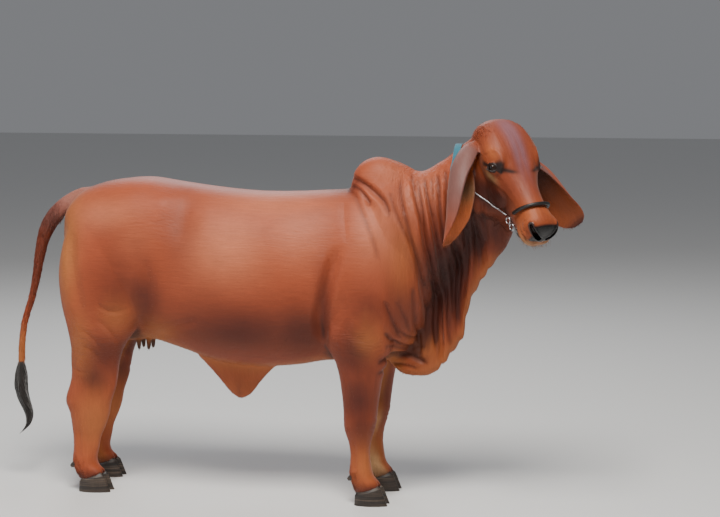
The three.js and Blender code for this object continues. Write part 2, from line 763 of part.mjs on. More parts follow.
function halterRing(find, x, z, way) {
  const inside = inHead(x, way * 20, z);
  const out = headWay(0, way, 0);
  const reaches = Array.from({ length: 12 }, (_, i) => {
    const turn = (2 * Math.PI * i) / 12;
    const start = inHead(x + RING_RADIUS * Math.cos(turn), way * 20, z + RING_RADIUS * Math.sin(turn));
    return find(start, out).sub(start).dot(out);
  });
  const at = inside.addScaledVector(out, Math.max(...reaches) + RING_WIRE + 1);
  const ring = new THREE.TorusGeometry(RING_RADIUS, RING_WIRE, 5, 12);
  ring.applyMatrix4(new THREE.Matrix4().makeBasis(headWay(1, 0, 0), headWay(0, 0, 1), headWay(0, -1, 0)));
  return solidOf(ring.translate(at.x, at.y, at.z));
}

// Colours of coat, hair, horn, skin and halter
const finish = (colour, roughness, metalness = 0) =>
  new THREE.MeshStandardMaterial({ color: new THREE.Color(colour), roughness, metalness });
const COAT = finish("#9c4a2c", 0.62);
const SWITCH_HAIR = finish("#15120f", 0.7);
const HORN = finish("#2b2622", 0.45);
const EYE = finish("#0d0908", 0.12);
const NOSE = finish("#26211f", 0.4);
const TEAL = finish("#2f7f92", 0.6);
const BLACK_LEATHER = finish("#171615", 0.5);
const STEEL = finish("#b9bcc0", 0.3, 1);

const heifer = new THREE.Group();
heifer.name = "brahman_heifer";

function addNode(name, solid, material) {
  const found = largest(solid).getMesh();
  const positions = new Float32Array(found.numVert * 3);
  for (let i = 0; i < found.numVert; i += 1) {
    positions.set(found.vertProperties.subarray(i * found.numProp, i * found.numProp + 3), i * 3);
  }
  const geometry = new THREE.BufferGeometry();
  geometry.setAttribute("position", new THREE.BufferAttribute(positions, 3));
  geometry.setIndex(new THREE.BufferAttribute(found.triVerts, 1));
  geometry.computeVertexNormals();
  const mesh = new THREE.Mesh(geometry, material);
  mesh.name = name;
  heifer.add(mesh);
}

// The whole flesh, with the eyes, nostrils, mouth and dew claws let in
const headShape = join([makeHeadShape(0), lidRing(-1, 0), lidRing(1, 0)]);
const clearance = join([makeHeadShape(GAP), makeNeck(GAP), lidRing(-1, GAP), lidRing(1, GAP)]);
const earStubs = Object.values(EARS).map((ear) => loft(earRings(ear, 0, EAR_ROOT - 0.002, 4)));
const whole = join([
  makeBody(),
  makeHump(),
  makeNeck(0),
  makeNavelFlap(),
  ...makeTeats(),
  makeLeg(foreSizes, -1),
  makeLeg(foreSizes, 1),
  makeLeg(hindSizes, -1),
  makeLeg(hindSizes, 1),
  makeTail(),
  headShape,
  ...earStubs,
]);
const hollows = [-1, 1].flatMap((way) => [eyeBall(way, GAP), eyeOpening(way), nostril(way)]);
const dewSockets = Object.values(FEET).flatMap((foot) => [-1, 1].map((way) => dewClaw(foot, way, GAP)));
let flesh = whole.subtract(join([...hollows, mouthLine(), ...dewSockets]));

// Head: in front of the nape and above the throat
const headRegion = [
  [inHead(-6, 0, -96), headWay(0.62, 0, 0.5)],
  [inHead(200, 0, -204), headWay(0.06, 0, 1)],
];
let head;
[head, flesh] = part(flesh, headRegion);
let nosePad;
[nosePad, head] = part(head, [
  [inHead(449, 0, -60), headWay(1, 0, -0.12)],
  [inHead(449, 0, -93), headWay(0, 0, 1)],
]);
addNode("head", head, COAT);
addNode("nose_pad", nosePad, NOSE);

// Tail and its switch
let tail;
[tail, flesh] = part(flesh, [[vec(TAIL_CUT_X, 0, 1050), vec(-1, 0, 0)]]);
addNode("tail", tail, COAT);
addNode("tail_switch", makeSwitch(), SWITCH_HAIR);

// Legs, claws and dew claws
for (const [leg, foot] of Object.entries(FEET)) {
  const way = Math.sign(foot.y);
  const cutZ = leg.startsWith("fore") ? FORELEG_CUT_Z : HINDLEG_CUT_Z;
  let limb;
  [limb, flesh] = part(flesh, [
    [vec(foot.x, 0, cutZ), vec(0, 0, -1)],
    [vec(foot.x, way * 43, 0), vec(0, way, 0)],
    [vec(foot.x - 200, 0, 0), vec(1, 0, 0)],
    [vec(foot.x + 200, 0, 0), vec(-1, 0, 0)],
  ]);
  addNode(leg, limb.intersect(region([coronetPlane(foot, 1)], GAP / 2)), COAT);
  for (const [side, out] of [["outer", way], ["inner", -way]]) {
    addNode("claw_" + leg + "_" + side, makeClaw(foot, out), HORN);
    addNode("dewclaw_" + leg + "_" + side, dewClaw(foot, out, 0), HORN);
  }
}

// Neck, dewlap, hump and torso
let neck;
let dewlap;
let hump;
[neck, flesh] = part(flesh, [[vec(NECK_CUT_Q, 0, NECK_LEVEL), vec(1, 0, NECK_LEAN)]]);
[dewlap, neck] = part(neck, [[vec(530, 0, 810), vec(0.717, 0, -0.697)]]);
[hump, flesh] = part(flesh, [
  [vec(186, 0, 1135), vec(-0.12, 0, 1)],
  [vec(184, 0, 1135), vec(1, 0, 0)],
]);
addNode("neck", neck, COAT);
addNode("dewlap", dewlap, COAT);
addNode("hump", hump, COAT);
addNode("torso", flesh, COAT);

// Halter
const onSkin = surfaceFinder(whole);
const crownCentre = vec(590, -18, 1190);
const crownWays = [-104, -80, -55, -30, 0, 30, 55, 80, 104].map((degrees) => {
  const turn = THREE.MathUtils.degToRad(degrees);
  return vec(-0.2 * (1 - Math.cos(turn)), Math.sin(turn), Math.cos(turn));
});
const crownStrap = drape(onSkin, fan(crownCentre, crownWays), flatSection(CROWN_WIDTH, 3), 19, 1.2);
addNode("halter_crown_strap", crownStrap.subtract(clearance), TEAL);
const noseWays = spread(-112, 112, 9).map((degrees) => {
  const turn = THREE.MathUtils.degToRad(degrees);
  return headWay(NOSEBAND_TILT * Math.cos(turn), Math.sin(turn), Math.cos(turn));
});
const noseband = drape(onSkin, fan(inHead(342, 0, -82), noseWays), roundSection(NOSEBAND_RADIUS, 7), 17, 0.8);
addNode("halter_noseband", noseband.subtract(clearance), BLACK_LEATHER);
const chinWays = [-64, -40, -14, 14, 40, 64].map((degrees) => {
  const turn = THREE.MathUtils.degToRad(degrees);
  return headWay(0, Math.sin(turn), -Math.cos(turn));
});
const chinStrap = drape(onSkin, fan(inHead(388, 0, -105), chinWays), flatSection(20, 4), 11, 1.2);
addNode("halter_chin_strap", chinStrap.subtract(clearance), BLACK_LEATHER);
for (const [side, way] of [["right", -1], ["left", 1]]) {
  addNode("halter_ring_upper_" + side, halterRing(onSkin, RING_AT.x, RING_AT.z, way), STEEL);
  addNode("halter_ring_lower_" + side, halterRing(onSkin, RING_AT.x + RING_AT.step, RING_AT.z, way), STEEL);
  const guides = [
    [vec(592, -18, 1156), vec(0, way, 0)],
    [vec(640, -28, 1146), vec(0, way, 0)],
    [inHead(180, way * 10, -166), headWay(0, way, 0)],
    [inHead(240, way * 10, -164), headWay(0, way, 0)],
    [inHead(300, way * 10, -158), headWay(0, way, 0)],
  ];
  const cord = tube(clearRoute(onSkin, guides, 13), () => CORD_RADIUS, 13, 6);
  addNode("halter_cheek_cord_" + side, cord.subtract(clearance), STEEL);
}

// Eyes and ears
for (const [side, ear] of Object.entries(EARS)) {
  addNode("eye_" + side, eyeBall(side === "left" ? 1 : -1, 0), EYE);
  addNode("ear_" + side, loft(earRings(ear, EAR_ROOT, 1, 12)).subtract(clearance), COAT);
}

// The origin is on the floor, in the middle of her length and width
const extent = new THREE.Box3().setFromObject(heifer);
heifer.position.set(-(extent.min.x + extent.max.x) / 2, -(extent.min.y + extent.max.y) / 2, -extent.min.z);

export default heifer;
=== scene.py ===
"""The looks of a young red Brahman heifer in a show halter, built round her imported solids.

Her own sizes are in millimetres from the middle of her track, +X towards her head and +Y towards her left.
One skin covers every node of flesh. It is lofted from tables of sizes, joined, and modelled with strokes.
"""
import math

import bpy
import numpy as np
from mathutils import Matrix, Vector, noise
from mathutils.bvhtree import BVHTree


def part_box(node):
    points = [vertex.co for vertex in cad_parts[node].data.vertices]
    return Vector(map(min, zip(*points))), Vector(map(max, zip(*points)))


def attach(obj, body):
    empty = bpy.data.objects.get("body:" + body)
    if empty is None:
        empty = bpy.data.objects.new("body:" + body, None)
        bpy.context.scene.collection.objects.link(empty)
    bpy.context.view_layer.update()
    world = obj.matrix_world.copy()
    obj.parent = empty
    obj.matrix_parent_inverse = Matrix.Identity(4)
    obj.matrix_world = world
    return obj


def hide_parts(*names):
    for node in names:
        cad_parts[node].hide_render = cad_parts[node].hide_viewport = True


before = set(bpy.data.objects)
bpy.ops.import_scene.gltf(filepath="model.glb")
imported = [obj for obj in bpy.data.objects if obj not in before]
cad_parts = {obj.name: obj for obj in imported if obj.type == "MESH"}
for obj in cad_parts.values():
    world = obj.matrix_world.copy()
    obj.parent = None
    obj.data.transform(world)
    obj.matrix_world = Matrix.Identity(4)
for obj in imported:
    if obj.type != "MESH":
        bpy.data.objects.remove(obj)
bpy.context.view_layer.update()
bpy.ops.object.select_all(action="DESELECT")

MM = 0.001
# Her sides, as the sign of Y there
SIDES = {"right": -1, "left": 1}
FORE_FOOT_X = 282
TOE_LENGTH = 74
_right_low, _right_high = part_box("claw_foreleg_right_outer")
_left_low, _left_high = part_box("claw_foreleg_left_outer")
TRACK = np.array([
    _right_high.x - (FORE_FOOT_X + TOE_LENGTH) * MM,
    (_right_low.y + _left_high.y) / 2,
    0.0,
])


# Numbers

def rise(value, start, end):
    """A smooth step from 0 at start to 1 at end, which may be the lower one."""
    share = np.clip((np.asarray(value, float) - start) / (end - start), 0, 1)
    return share * share * (3 - 2 * share)


def bump(value, centre, spread):
    return np.exp(-(((np.asarray(value, float) - centre) / spread) ** 2))


def power(value, exponent):
    return np.sign(value) * np.abs(value) ** exponent


def mix(low, high, share):
    return low + (high - low) * share


def full_turn(count):
    """Even angles once round, without the last one."""
    return np.linspace(0, 2 * math.pi, count, endpoint=False)


def to_row(points):
    """Her own millimetres as metres in the row's frame."""
    return np.asarray(points, float) * MM + TRACK


def to_own(points):
    return (np.asarray(points, float) - TRACK) / MM


def smooth_table(columns, rows):
    """Named sizes that change smoothly with the first column."""
    names = columns.split()[1:]
    data = np.array(rows, float)
    at, values = data[:, 0], data[:, 1:]
    slopes = np.empty_like(values)
    slopes[1:-1] = (values[2:] - values[:-2]) / (at[2:] - at[:-2])[:, None]
    slopes[0] = (values[1] - values[0]) / (at[1] - at[0])
    slopes[-1] = (values[-1] - values[-2]) / (at[-1] - at[-2])

    def sizes(where):
        where = np.clip(np.asarray(where, float), at[0], at[-1])
        i = np.clip(np.searchsorted(at, where, side="right") - 1, 0, len(at) - 2)
        step = at[i + 1] - at[i]
        t = ((where - at[i]) / step)[..., None]
        step = step[..., None]
        found = (
            (2 * t**3 - 3 * t**2 + 1) * values[i]
            + (t**3 - 2 * t**2 + t) * step * slopes[i]
            + (3 * t**2 - 2 * t**3) * values[i + 1]
            + (t**3 - t**2) * step * slopes[i + 1]
        )
        return {name: found[..., k] for k, name in enumerate(names)}

    sizes.start, sizes.end = at[0], at[-1]
    return sizes


def length_along(line):
    """How far along a line each of its points lies."""
    return np.concatenate([[0], np.cumsum(np.linalg.norm(np.diff(line, axis=0), axis=1))])


def smooth_rows(at, rows, want):
    """Rows of values that change smoothly with a rising number, as they are at other numbers."""
    names = "at " + " ".join("v" + str(k) for k in range(rows.shape[1]))
    table = smooth_table(names, np.column_stack([at, rows]))
    return np.column_stack(list(table(want).values()))


# Steps in which a smooth line is measured before it is cut up evenly
FINE_STEPS = 400


def curve_points(points, count):
    """A smooth line through a few points, at even steps of its length."""
    points = np.array(points, float)
    chord = np.concatenate([[0], np.cumsum(np.linalg.norm(np.diff(points, axis=0), axis=1) ** 0.5)])
    line = smooth_rows(chord, points, np.linspace(0, chord[-1], FINE_STEPS))
    length = length_along(line)
    want = np.linspace(0, length[-1], count)
    return np.column_stack([np.interp(want, length, row) for row in line.T])


def between_guides(values, count):
    """Values that pass smoothly through one row for each guide, at even steps."""
    values = np.array(values, float)
    return smooth_rows(np.arange(len(values)), values, np.linspace(0, len(values) - 1, count))


def unit(vectors):
    vectors = np.asarray(vectors, float)
    return vectors / np.maximum(np.linalg.norm(vectors, axis=-1, keepdims=True), 1e-12)


# Meshes

def mesh_object(name, points, faces):
    """A mesh object at the origin from her own millimetres."""
    mesh = bpy.data.meshes.new(name)
    mesh.from_pydata(to_row(points).tolist(), [], faces)
    mesh.validate()
    made = bpy.data.objects.new(name, mesh)
    bpy.context.scene.collection.objects.link(made)
    return made


def loft(name, rings):
    """Skins closed rings of points, with a fan over each end, facing out."""
    rings = np.asarray(rings, float)
    count, around = rings.shape[:2]
    points = np.concatenate([rings.reshape(-1, 3), rings[[0, -1]].mean(axis=1)])
    i, j = np.meshgrid(np.arange(count - 1), np.arange(around), indexing="ij")
    a = (i * around + j).ravel()
    b = (i * around + (j + 1) % around).ravel()
    faces = np.column_stack([a, b, b + around, a + around]).tolist()
    first, last = count * around, count * around + 1
    end = (count - 1) * around
    for j in range(around):
        k = (j + 1) % around
        faces.append([k, j, first])
        faces.append([end + j, end + k, last])
    made = mesh_object(name, points, faces)
    face_out(made)
    return made


def select_only(*objects):
    bpy.ops.object.select_all(action="DESELECT")
    for o in objects:
        o.select_set(True)
    bpy.context.view_layer.objects.active = objects[0]


def face_out(target):
    """Turns every face of a closed mesh outwards."""
    select_only(target)
    bpy.ops.object.mode_set(mode="EDIT")
    bpy.ops.mesh.select_all(action="SELECT")
    bpy.ops.mesh.normals_make_consistent(inside=False)
    bpy.ops.object.mode_set(mode="OBJECT")


def apply_modifier(target, kind, **settings):
    select_only(target)
    modifier = target.modifiers.new(kind.lower(), kind)
    for key, value in settings.items():
        setattr(modifier, key, value)
    bpy.ops.object.modifier_apply(modifier=modifier.name)


def join(name, objects):
    select_only(*objects)
    bpy.ops.object.join()
    made = bpy.context.view_layer.objects.active
    made.name = name
    return made


def read(items, name, each=1, kind=np.int32):
    """A number, or a row of numbers, from every item of a mesh."""
    values = np.empty(len(items) * each, kind)
    items.foreach_get(name, values)
    return values.reshape(-1, each) if each > 1 else values


def vertices_of(target):
    return to_own(read(target.data.vertices, "co", 3, np.float32))


def normals_of(target):
    return read(target.data.vertices, "normal", 3, np.float32).astype(float)


def set_vertices(target, points):
    target.data.vertices.foreach_set("co", to_row(points).astype(np.float32).ravel())
    target.data.update()


def put_places(target, name, places):
    """A UV map from a place for every point of a mesh."""
    corners = places[read(target.data.loops, "vertex_index")]
    target.data.uv_layers.new(name=name).data.foreach_set("uv", corners.astype(np.float32).ravel())


def oval(s, count, top, low):
    """Places across and up round a section that is more or less square above and below."""
    turn = full_turn(count)[None, :]
    c = np.cos(turn)
    shape = np.where(c > 0, s["flat"], s["full"])
    across = power(np.sin(turn), 2 / shape) * s["half"]
    up = s["wide"] + power(c, 2 / shape) * np.where(c > 0, s[top] - s["wide"], s["wide"] - s[low])
    return across, up


# Body: upright sections along X
body_sizes = smooth_table("x top low half wide flat full", [
    [-892, 1004, 800, 44, 930, 2.0, 2.0],
    [-872, 1060, 700, 96, 950, 2.1, 2.0],
    [-830, 1106, 610, 140, 950, 2.2, 2.0],
    [-740, 1143, 560, 178, 940, 2.3, 2.0],
    [-640, 1160, 552, 196, 930, 2.5, 2.0],
    [-560, 1164, 560, 203, 900, 2.5, 2.0],
    [-450, 1150, 532, 207, 850, 2.2, 2.1],
    [-300, 1131, 488, 219, 810, 2.1, 2.15],
    [-150, 1119, 473, 225, 800, 2.05, 2.2],
    [0, 1120, 484, 219, 800, 2.0, 2.15],
    [110, 1126, 503, 200, 800, 2.0, 2.0],
    [220, 1132, 505, 190, 800, 2.0, 1.9],
    [320, 1126, 508, 182, 800, 2.0, 1.9],
    [400, 1090, 545, 166, 800, 2.0, 1.9],
    [455, 1010, 625, 132, 800, 2.0, 1.9],
    [488, 930, 715, 74, 800, 2.0, 2.0],
])


def body_rings():
    back, front = [-892, -886, -876, -862, -845], [455, 468, 478, 488]
    x = np.concatenate([back, np.linspace(-825, 440, 100), front])[:, None]
    y, z = oval(body_sizes(x), 96, "top", "low")
    return np.stack([np.broadcast_to(x, z.shape), y, z], axis=-1)


# Hump: a crest over the shoulders that leans back over a crease behind it
hump_sizes = smooth_table("x top half", [
    [190, 1120, 14],
    [202, 1172, 44],
    [228, 1214, 62],
    [265, 1239, 72],
    [306, 1247, 76],
    [360, 1233, 74],
    [410, 1210, 66],
    [470, 1170, 46],
])


def hump_rings():
    x = np.linspace(hump_sizes.start, hump_sizes.end, 40)[:, None]
    s = hump_sizes(x)
    turn = full_turn(48)[None, :]
    z = mix(1030, s["top"], 0.5 + 0.5 * power(np.cos(turn), 0.9))
    skirt = 1 + 0.3 * rise(z, 1170, 1080)
    lean = 0.12 * (z - 1150) * rise(x, 420, 230)
    return np.stack([x - lean, power(np.sin(turn), 0.9) * s["half"] * skirt, z], axis=-1)


# Neck and dewlap: leaning sections, thick above and a hanging sheet of skin below
NECK_LEAN = 0.2
NECK_LEVEL = 1200
neck_sizes = smooth_table("q top hem throat half edge side", [
    [196, 1080, 500, 800, 80, 12, 0],
    [235, 1120, 463, 800, 116, 20, 0],
    [290, 1160, 455, 780, 146, 24, 0],
    [345, 1192, 464, 760, 154, 22, 0],
    [400, 1203, 508, 770, 148, 18, 0],
    [451, 1197, 563, 805, 130, 17, -1],
    [487, 1211, 606, 845, 115, 17, -4],
    [514, 1226, 680, 880, 106, 17, -7],
    [550, 1245, 752, 925, 96, 17, -12],
    [601, 1281, 820, 975, 88, 18, -20],
    [640, 1307, 862, 1006, 85, 19, -27],
    [671, 1325, 896, 1030, 83, 21, -33],
    [710, 1338, 936, 1065, 80, 26, -41],
    [745, 1330, 990, 1110, 70, 34, -50],
])
FOLD_PITCH = 40
FOLD_PHASE = 434
FOLD_KNEE_Z = 930
HEM_SHIFT = 86
HEM_LOBE = 13


def neck_rings():
    q = np.concatenate([np.linspace(196, 395, 24)[:-1], np.linspace(395, 745, 80)])[:, None]
    s = neck_sizes(q)
    half = 44
    shares = (1 - np.cos(np.linspace(0, math.pi, half + 1))) / 2
    share = np.concatenate([shares, shares[1:-1][::-1]])[None, :]
    way = np.concatenate([-np.ones(half + 1), np.ones(half - 1)])[None, :]
    lobes = np.abs(np.sin(math.pi * (q + HEM_SHIFT - FOLD_PHASE) / FOLD_PITCH))
    hem = s["hem"] + HEM_LOBE * (0.6 - lobes) * rise(q, 330, 390) * rise(q, 690, 620)
    z = mix(s["top"], hem, share)
    height = np.clip((z - s["throat"]) / (s["top"] - s["throat"]), 0, 1)
    crest = np.sqrt(np.maximum(0, 1 - ((height - 0.42) / 0.58) ** 2))
    round_below = mix(0.62, 1, np.sin(height / 0.42 * math.pi / 2))
    neck = s["half"] * np.where(height > 0.42, crest, round_below)
    hang = rise(z, s["throat"] + 60, s["throat"] - 60)
    low = np.minimum(1, (z - hem) / 34)
    skin = s["edge"] * np.sqrt(np.maximum(0.04, low * (2 - low)))
    x = q - NECK_LEAN * (z - NECK_LEVEL)
    line = x + NECK_LEAN * (np.maximum(z, FOLD_KNEE_Z) - NECK_LEVEL)
    wander = np.sin(math.pi * (line - FOLD_PHASE) / FOLD_PITCH)
    sway = 12 * wander * hang * rise(q, 300, 420) * rise(q, 700, 620)
    y = way * np.maximum(5, mix(neck, skin, hang)) + sway
    centre = s["side"] * rise(z, 650, 1100)
    y[:, 0] = 0
    return np.stack([x, y + centre, z], axis=-1)


# Legs: level sections from inside the body down to the coronet
fore_sizes = smooth_table("z x aft fore side half", [
    [44, 282, 42, 46, 118, 44],
    [62, 277, 44, 46, 118, 44],
    [84, 266, 44, 42, 118, 42],
    [104, 259, 45, 40, 119, 40],
    [124, 256, 43, 38, 120, 39],
    [150, 254, 39, 36, 121, 34],
    [190, 252, 36, 35, 122, 31],
    [235, 250, 42, 43, 123, 36],
    [275, 251, 56, 54, 124, 45],
    [310, 253, 60, 60, 125, 48],
    [345, 255, 63, 61, 126, 45],
    [400, 257, 68, 66, 127, 49],
    [460, 257, 76, 76, 128, 57],
    [520, 257, 94, 92, 126, 66],
    [590, 252, 128, 118, 121, 76],
    [680, 262, 132, 128, 118, 80],
    [790, 276, 118, 130, 112, 82],
    [920, 282, 96, 102, 98, 76],
    [1040, 276, 60, 56, 70, 50],
    [1090, 272, 30, 28, 50, 28],
])
hind_sizes = smooth_table("z x aft fore side half", [
    [44, -764, 42, 46, 122, 43],
    [62, -769, 44, 46, 122, 43],
    [84, -784, 46, 42, 122, 42],
    [104, -793, 47, 45, 122, 40],
    [124, -797, 44, 47, 122, 38],
    [160, -795, 43, 54, 122, 33],
    [205, -791, 48, 60, 122, 31],
    [250, -784, 60, 73, 123, 36],
    [295, -778, 72, 81, 124, 43],
    [335, -772, 92, 82, 125, 46],
    [368, -766, 92, 88, 126, 43],
    [400, -758, 84, 90, 127, 40],
    [440, -752, 86, 91, 128, 45],
    [490, -744, 94, 90, 129, 56],
    [545, -734, 104, 98, 128, 68],
    [610, -722, 130, 128, 124, 80],
    [700, -716, 160, 146, 116, 92],
    [820, -722, 166, 138, 104, 100],
    [940, -730, 138, 110, 90, 94],
    [1040, -735, 96, 80, 74, 76],
    [1090, -738, 50, 46, 58, 44],
])
FORE_TRACK = 118
HIND_TRACK = 122
HIND_FOOT_X = -764
HIND_STEP_BACK = 38
CORONET_HEIGHT = 58
CORONET_SLOPE = 0.3
# Places of the feet on the floor, with the sizes of their legs
FEET = {
    "foreleg_right": (FORE_FOOT_X, -FORE_TRACK, fore_sizes),
    "foreleg_left": (FORE_FOOT_X, FORE_TRACK, fore_sizes),
    "hindleg_right": (HIND_FOOT_X, -HIND_TRACK, hind_sizes),
    "hindleg_left": (HIND_FOOT_X - HIND_STEP_BACK, HIND_TRACK, hind_sizes),
}


def leg_shift(sizes, way, z):
    """The left hind leg stands a little further back than the right one."""
    return -HIND_STEP_BACK * rise(z, 780, 430) if sizes is hind_sizes and way > 0 else np.zeros_like(z)


def leg_rings(sizes, way):
    z = np.concatenate([np.linspace(CORONET_HEIGHT - 3, 380, 50), np.linspace(390, 1090, 50)])[:, None]
    s = sizes(z)
    turn = full_turn(48)[None, :]
    c = np.cos(turn)
    x = s["x"] + leg_shift(sizes, way, z) + power(c, 0.92) * np.where(c > 0, s["fore"], s["aft"])
    y = way * s["side"] + power(np.sin(turn), 0.92) * s["half"]
    slant = CORONET_SLOPE * (x - s["x"] - leg_shift(sizes, way, z)) * rise(z, 120, 60)
    return np.stack([x, y, z + slant], axis=-1)


# Navel flap: a hanging fold of loose skin in the middle of the belly
flap_sizes = smooth_table("x low half", [
    [-392, 500, 10],
    [-350, 462, 22],
    [-300, 408, 28],
    [-262, 366, 30],
    [-228, 346, 30],
    [-190, 362, 28],
    [-150, 410, 26],
    [-100, 462, 22],
    [-60, 490, 12],
])


def flap_rings():
    x = np.linspace(flap_sizes.start, flap_sizes.end, 48)[:, None]
    s = flap_sizes(x)
    turn = full_turn(40)[None, :]
    share = 0.5 - 0.5 * np.cos(turn)
    z = mix(540, s["low"], share)
    y = s["half"] * mix(1.7, 0.8, share) * power(np.sin(turn), 0.75)
    return np.stack([np.broadcast_to(x, z.shape), y, z], axis=-1)


def tube_rings(path, radius, count, around, lead=(0, 1, 0)):
    """Round sections along a smooth path; radius is a function of the share of its length."""
    at = curve_points(path, count)
    along = unit(np.gradient(at, axis=0))
    lead = np.array(lead, float)
    across = unit(lead - along * (along @ lead)[:, None])
    out = np.cross(along, across)
    turn = full_turn(around)[None, :, None]
    r = radius(np.linspace(0, 1, count))
    circle = across[:, None] * np.cos(turn) + out[:, None] * np.sin(turn)
    return at[:, None] + circle * r[:, None, None]


TAIL_PATH = [
    (-770, 0, 1092), (-822, 0, 1094), (-869, 0, 1076), (-922, -1, 1037), (-962, -2, 992),
    (-990, -3, 934), (-1008, -4, 862), (-1021, -5, 790), (-1041, -6, 705), (-1071, -7, 613),
    (-1084, -8, 527), (-1088, -8, 452),
]
tail_sizes = smooth_table("share radius", [
    [0, 30], [0.08, 29], [0.2, 30], [0.3, 28], [0.4, 22], [0.52, 17], [0.66, 13], [0.82, 12], [1, 13],
])


# Head, in its own frame: x down the face from the poll, y to the left, z out of the forehead
POLL = (741, -48, 1387)
FACE_PITCH = math.radians(49)
FACE_TURN = math.radians(47)
FACE_ROLL = math.radians(3)
HEAD_AXES = np.array(
    Matrix.Rotation(-FACE_TURN, 3, "Z")
    @ Matrix.Rotation(FACE_PITCH, 3, "Y")
    @ Matrix.Rotation(FACE_ROLL, 3, "X")
)


def from_head(points):
    return np.asarray(points, float) @ HEAD_AXES.T + np.array(POLL)


def in_head(points):
    return (np.asarray(points, float) - np.array(POLL)) @ HEAD_AXES


def head_way(x, y, z):
    return HEAD_AXES @ unit(np.array([x, y, z], float))


def sided(places, way):
    """Places in the head's own frame, mirrored to her right side where way is -1."""
    return np.asarray(places, float) * [1, way, 1]


head_sizes = smooth_table("x front back half wide flat full", [
    [-30, -48, -100, 26, -75, 2.0, 2.0],
    [-22, -28, -122, 54, -72, 2.2, 2.0],
    [0, -4, -144, 80, -66, 2.4, 2.0],
    [40, 12, -164, 96, -56, 2.5, 1.9],
    [90, 19, -180, 105, -46, 2.5, 1.8],
    [140, 16, -192, 105, -46, 2.5, 1.75],
    [185, 4, -198, 94, -54, 2.4, 1.75],
    [230, -6, -197, 73, -62, 2.2, 1.75],
    [280, -12, -190, 55, -66, 2.1, 1.85],
    [330, -15, -176, 50, -70, 2.15, 2.0],
    [380, -16, -162, 53, -70, 2.3, 2.3],
    [420, -18, -151, 59, -68, 2.5, 2.4],
    [445, -27, -141, 57, -70, 2.4, 2.4],
    [458, -41, -126, 46, -76, 2.2, 2.2],
    [464, -56, -110, 30, -82, 2.0, 2.0],
])


def head_rings():
    poll, nose = [-30, -27, -22, -15, -7], [438, 446, 453, 459, 464]
    x = np.concatenate([poll, np.linspace(2, 430, 90), nose])[:, None]
    y, z = oval(head_sizes(x), 80, "front", "back")
    return from_head(np.stack([np.broadcast_to(x, z.shape), y, z], axis=-1))


# Swellings on each side of the head: place and radii
HEAD_EGGS = {
    "brow": ((150, 70, -38), (62, 36, 46)),
    "jowl": ((188, 52, -126), (94, 31, 62)),
    "nostril_wing": ((420, 36, -60), (38, 27, 35)),
}


def head_egg(name, centre, radii):
    """A smooth swelling on the head, in the head's own frame."""
    lat = np.linspace(0.02, math.pi - 0.02, 24)[:, None]
    turn = full_turn(32)[None, :]
    ball = [np.sin(lat) * np.cos(turn), np.sin(lat) * np.sin(turn), np.cos(lat) + 0 * turn]
    return loft(name, from_head(centre + np.stack(ball, axis=-1) * np.array(radii)))


# Ears: long pendulous cups. width is measured over the curve and curl is how far round it bends
ear_sizes = smooth_table("share width curl thick", [
    [0, 96, 250, 15],
    [0.1, 124, 235, 11],
    [0.3, 206, 250, 8],
    [0.52, 222, 228, 7],
    [0.72, 196, 180, 6.5],
    [0.87, 150, 110, 6],
    [0.96, 98, 60, 5],
    [1, 44, 34, 4],
])
EAR_PATHS = {
    "right": [
        from_head((38, -60, -88)), (634, -106, 1286), (609, -152, 1220),
        (602, -186, 1138), (592, -194, 1054), (568, -188, 952),
    ],
    "left": [
        from_head((40, 58, -84)), (818, 33, 1232), (866, 55, 1180),
        (906, 74, 1124), (950, 92, 1068), (1004, 112, 1006),
    ],
}
# The way out of each ear's back, at its root and beyond
EAR_BACKS = {
    "right": [(-0.6, -0.15, 0.75), (-0.968, 0.25, 0)],
    "left": [(-0.1, 0.6, 0.75), (0.15, 0.96, 0.2)],
}
# How far each ear is curled: the left one is held more open
EAR_OPEN = {"right": 1, "left": 0.88}
# How broad the outer half of each ear is
EAR_BREADTH = {"right": 1, "left": 0.86}


def ear_frame(side, share):
    """An ear's middle line at a share of its length: place, way along, way out of the back, way across."""
    line = curve_points(EAR_PATHS[side], 200)
    at, slope = (
        np.column_stack([np.interp(share, np.linspace(0, 1, 200), row) for row in rows.T])
        for rows in (line, np.gradient(line, axis=0))
    )
    along = unit(slope)
    first, last = (np.array(b) for b in EAR_BACKS[side])
    back = mix(first, last, rise(share, 0, 0.6)[:, None])
    out = unit(back - along * (back * along).sum(1)[:, None])
    return at, along, out, np.cross(along, out)


def ear_rings(side, start, end, count, across=28):
    share = np.linspace(start, end, count)
    at, _, out, wide = ear_frame(side, share)
    s = ear_sizes(share)
    bend = (np.radians(s["curl"]) * mix(1, EAR_OPEN[side], rise(share, 0.1, 0.35)))[:, None]
    breadth = mix(1, EAR_BREADTH[side], rise(share, 0.5, 0.9))
    radius = (s["width"] * breadth)[:, None] / bend

    def rim(u, inset):
        turn = u * bend / 2
        reach = radius - inset
        sideways = wide[:, None] * (reach * np.sin(turn))[..., None]
        height = reach * np.cos(turn) - radius * np.cos(bend / 4)
        return at[:, None] + sideways + out[:, None] * height[..., None]

    u = np.linspace(-1, 1, across)[None, :]
    inner = np.linspace(0.97, -0.97, across)[None, :]
    thick = np.maximum(2, s["thick"][:, None] * (1 - 0.6 * inner**4))
    return np.concatenate([rim(u, 0 * u), rim(inner, thick)], axis=1)


VOXEL = 4.5
TEATS_X = (-574, -612)
TEAT_Y = 26
# The share of an ear's length where its root in the flesh and its blade overlap
EAR_JOIN = (0.07, 0.24)


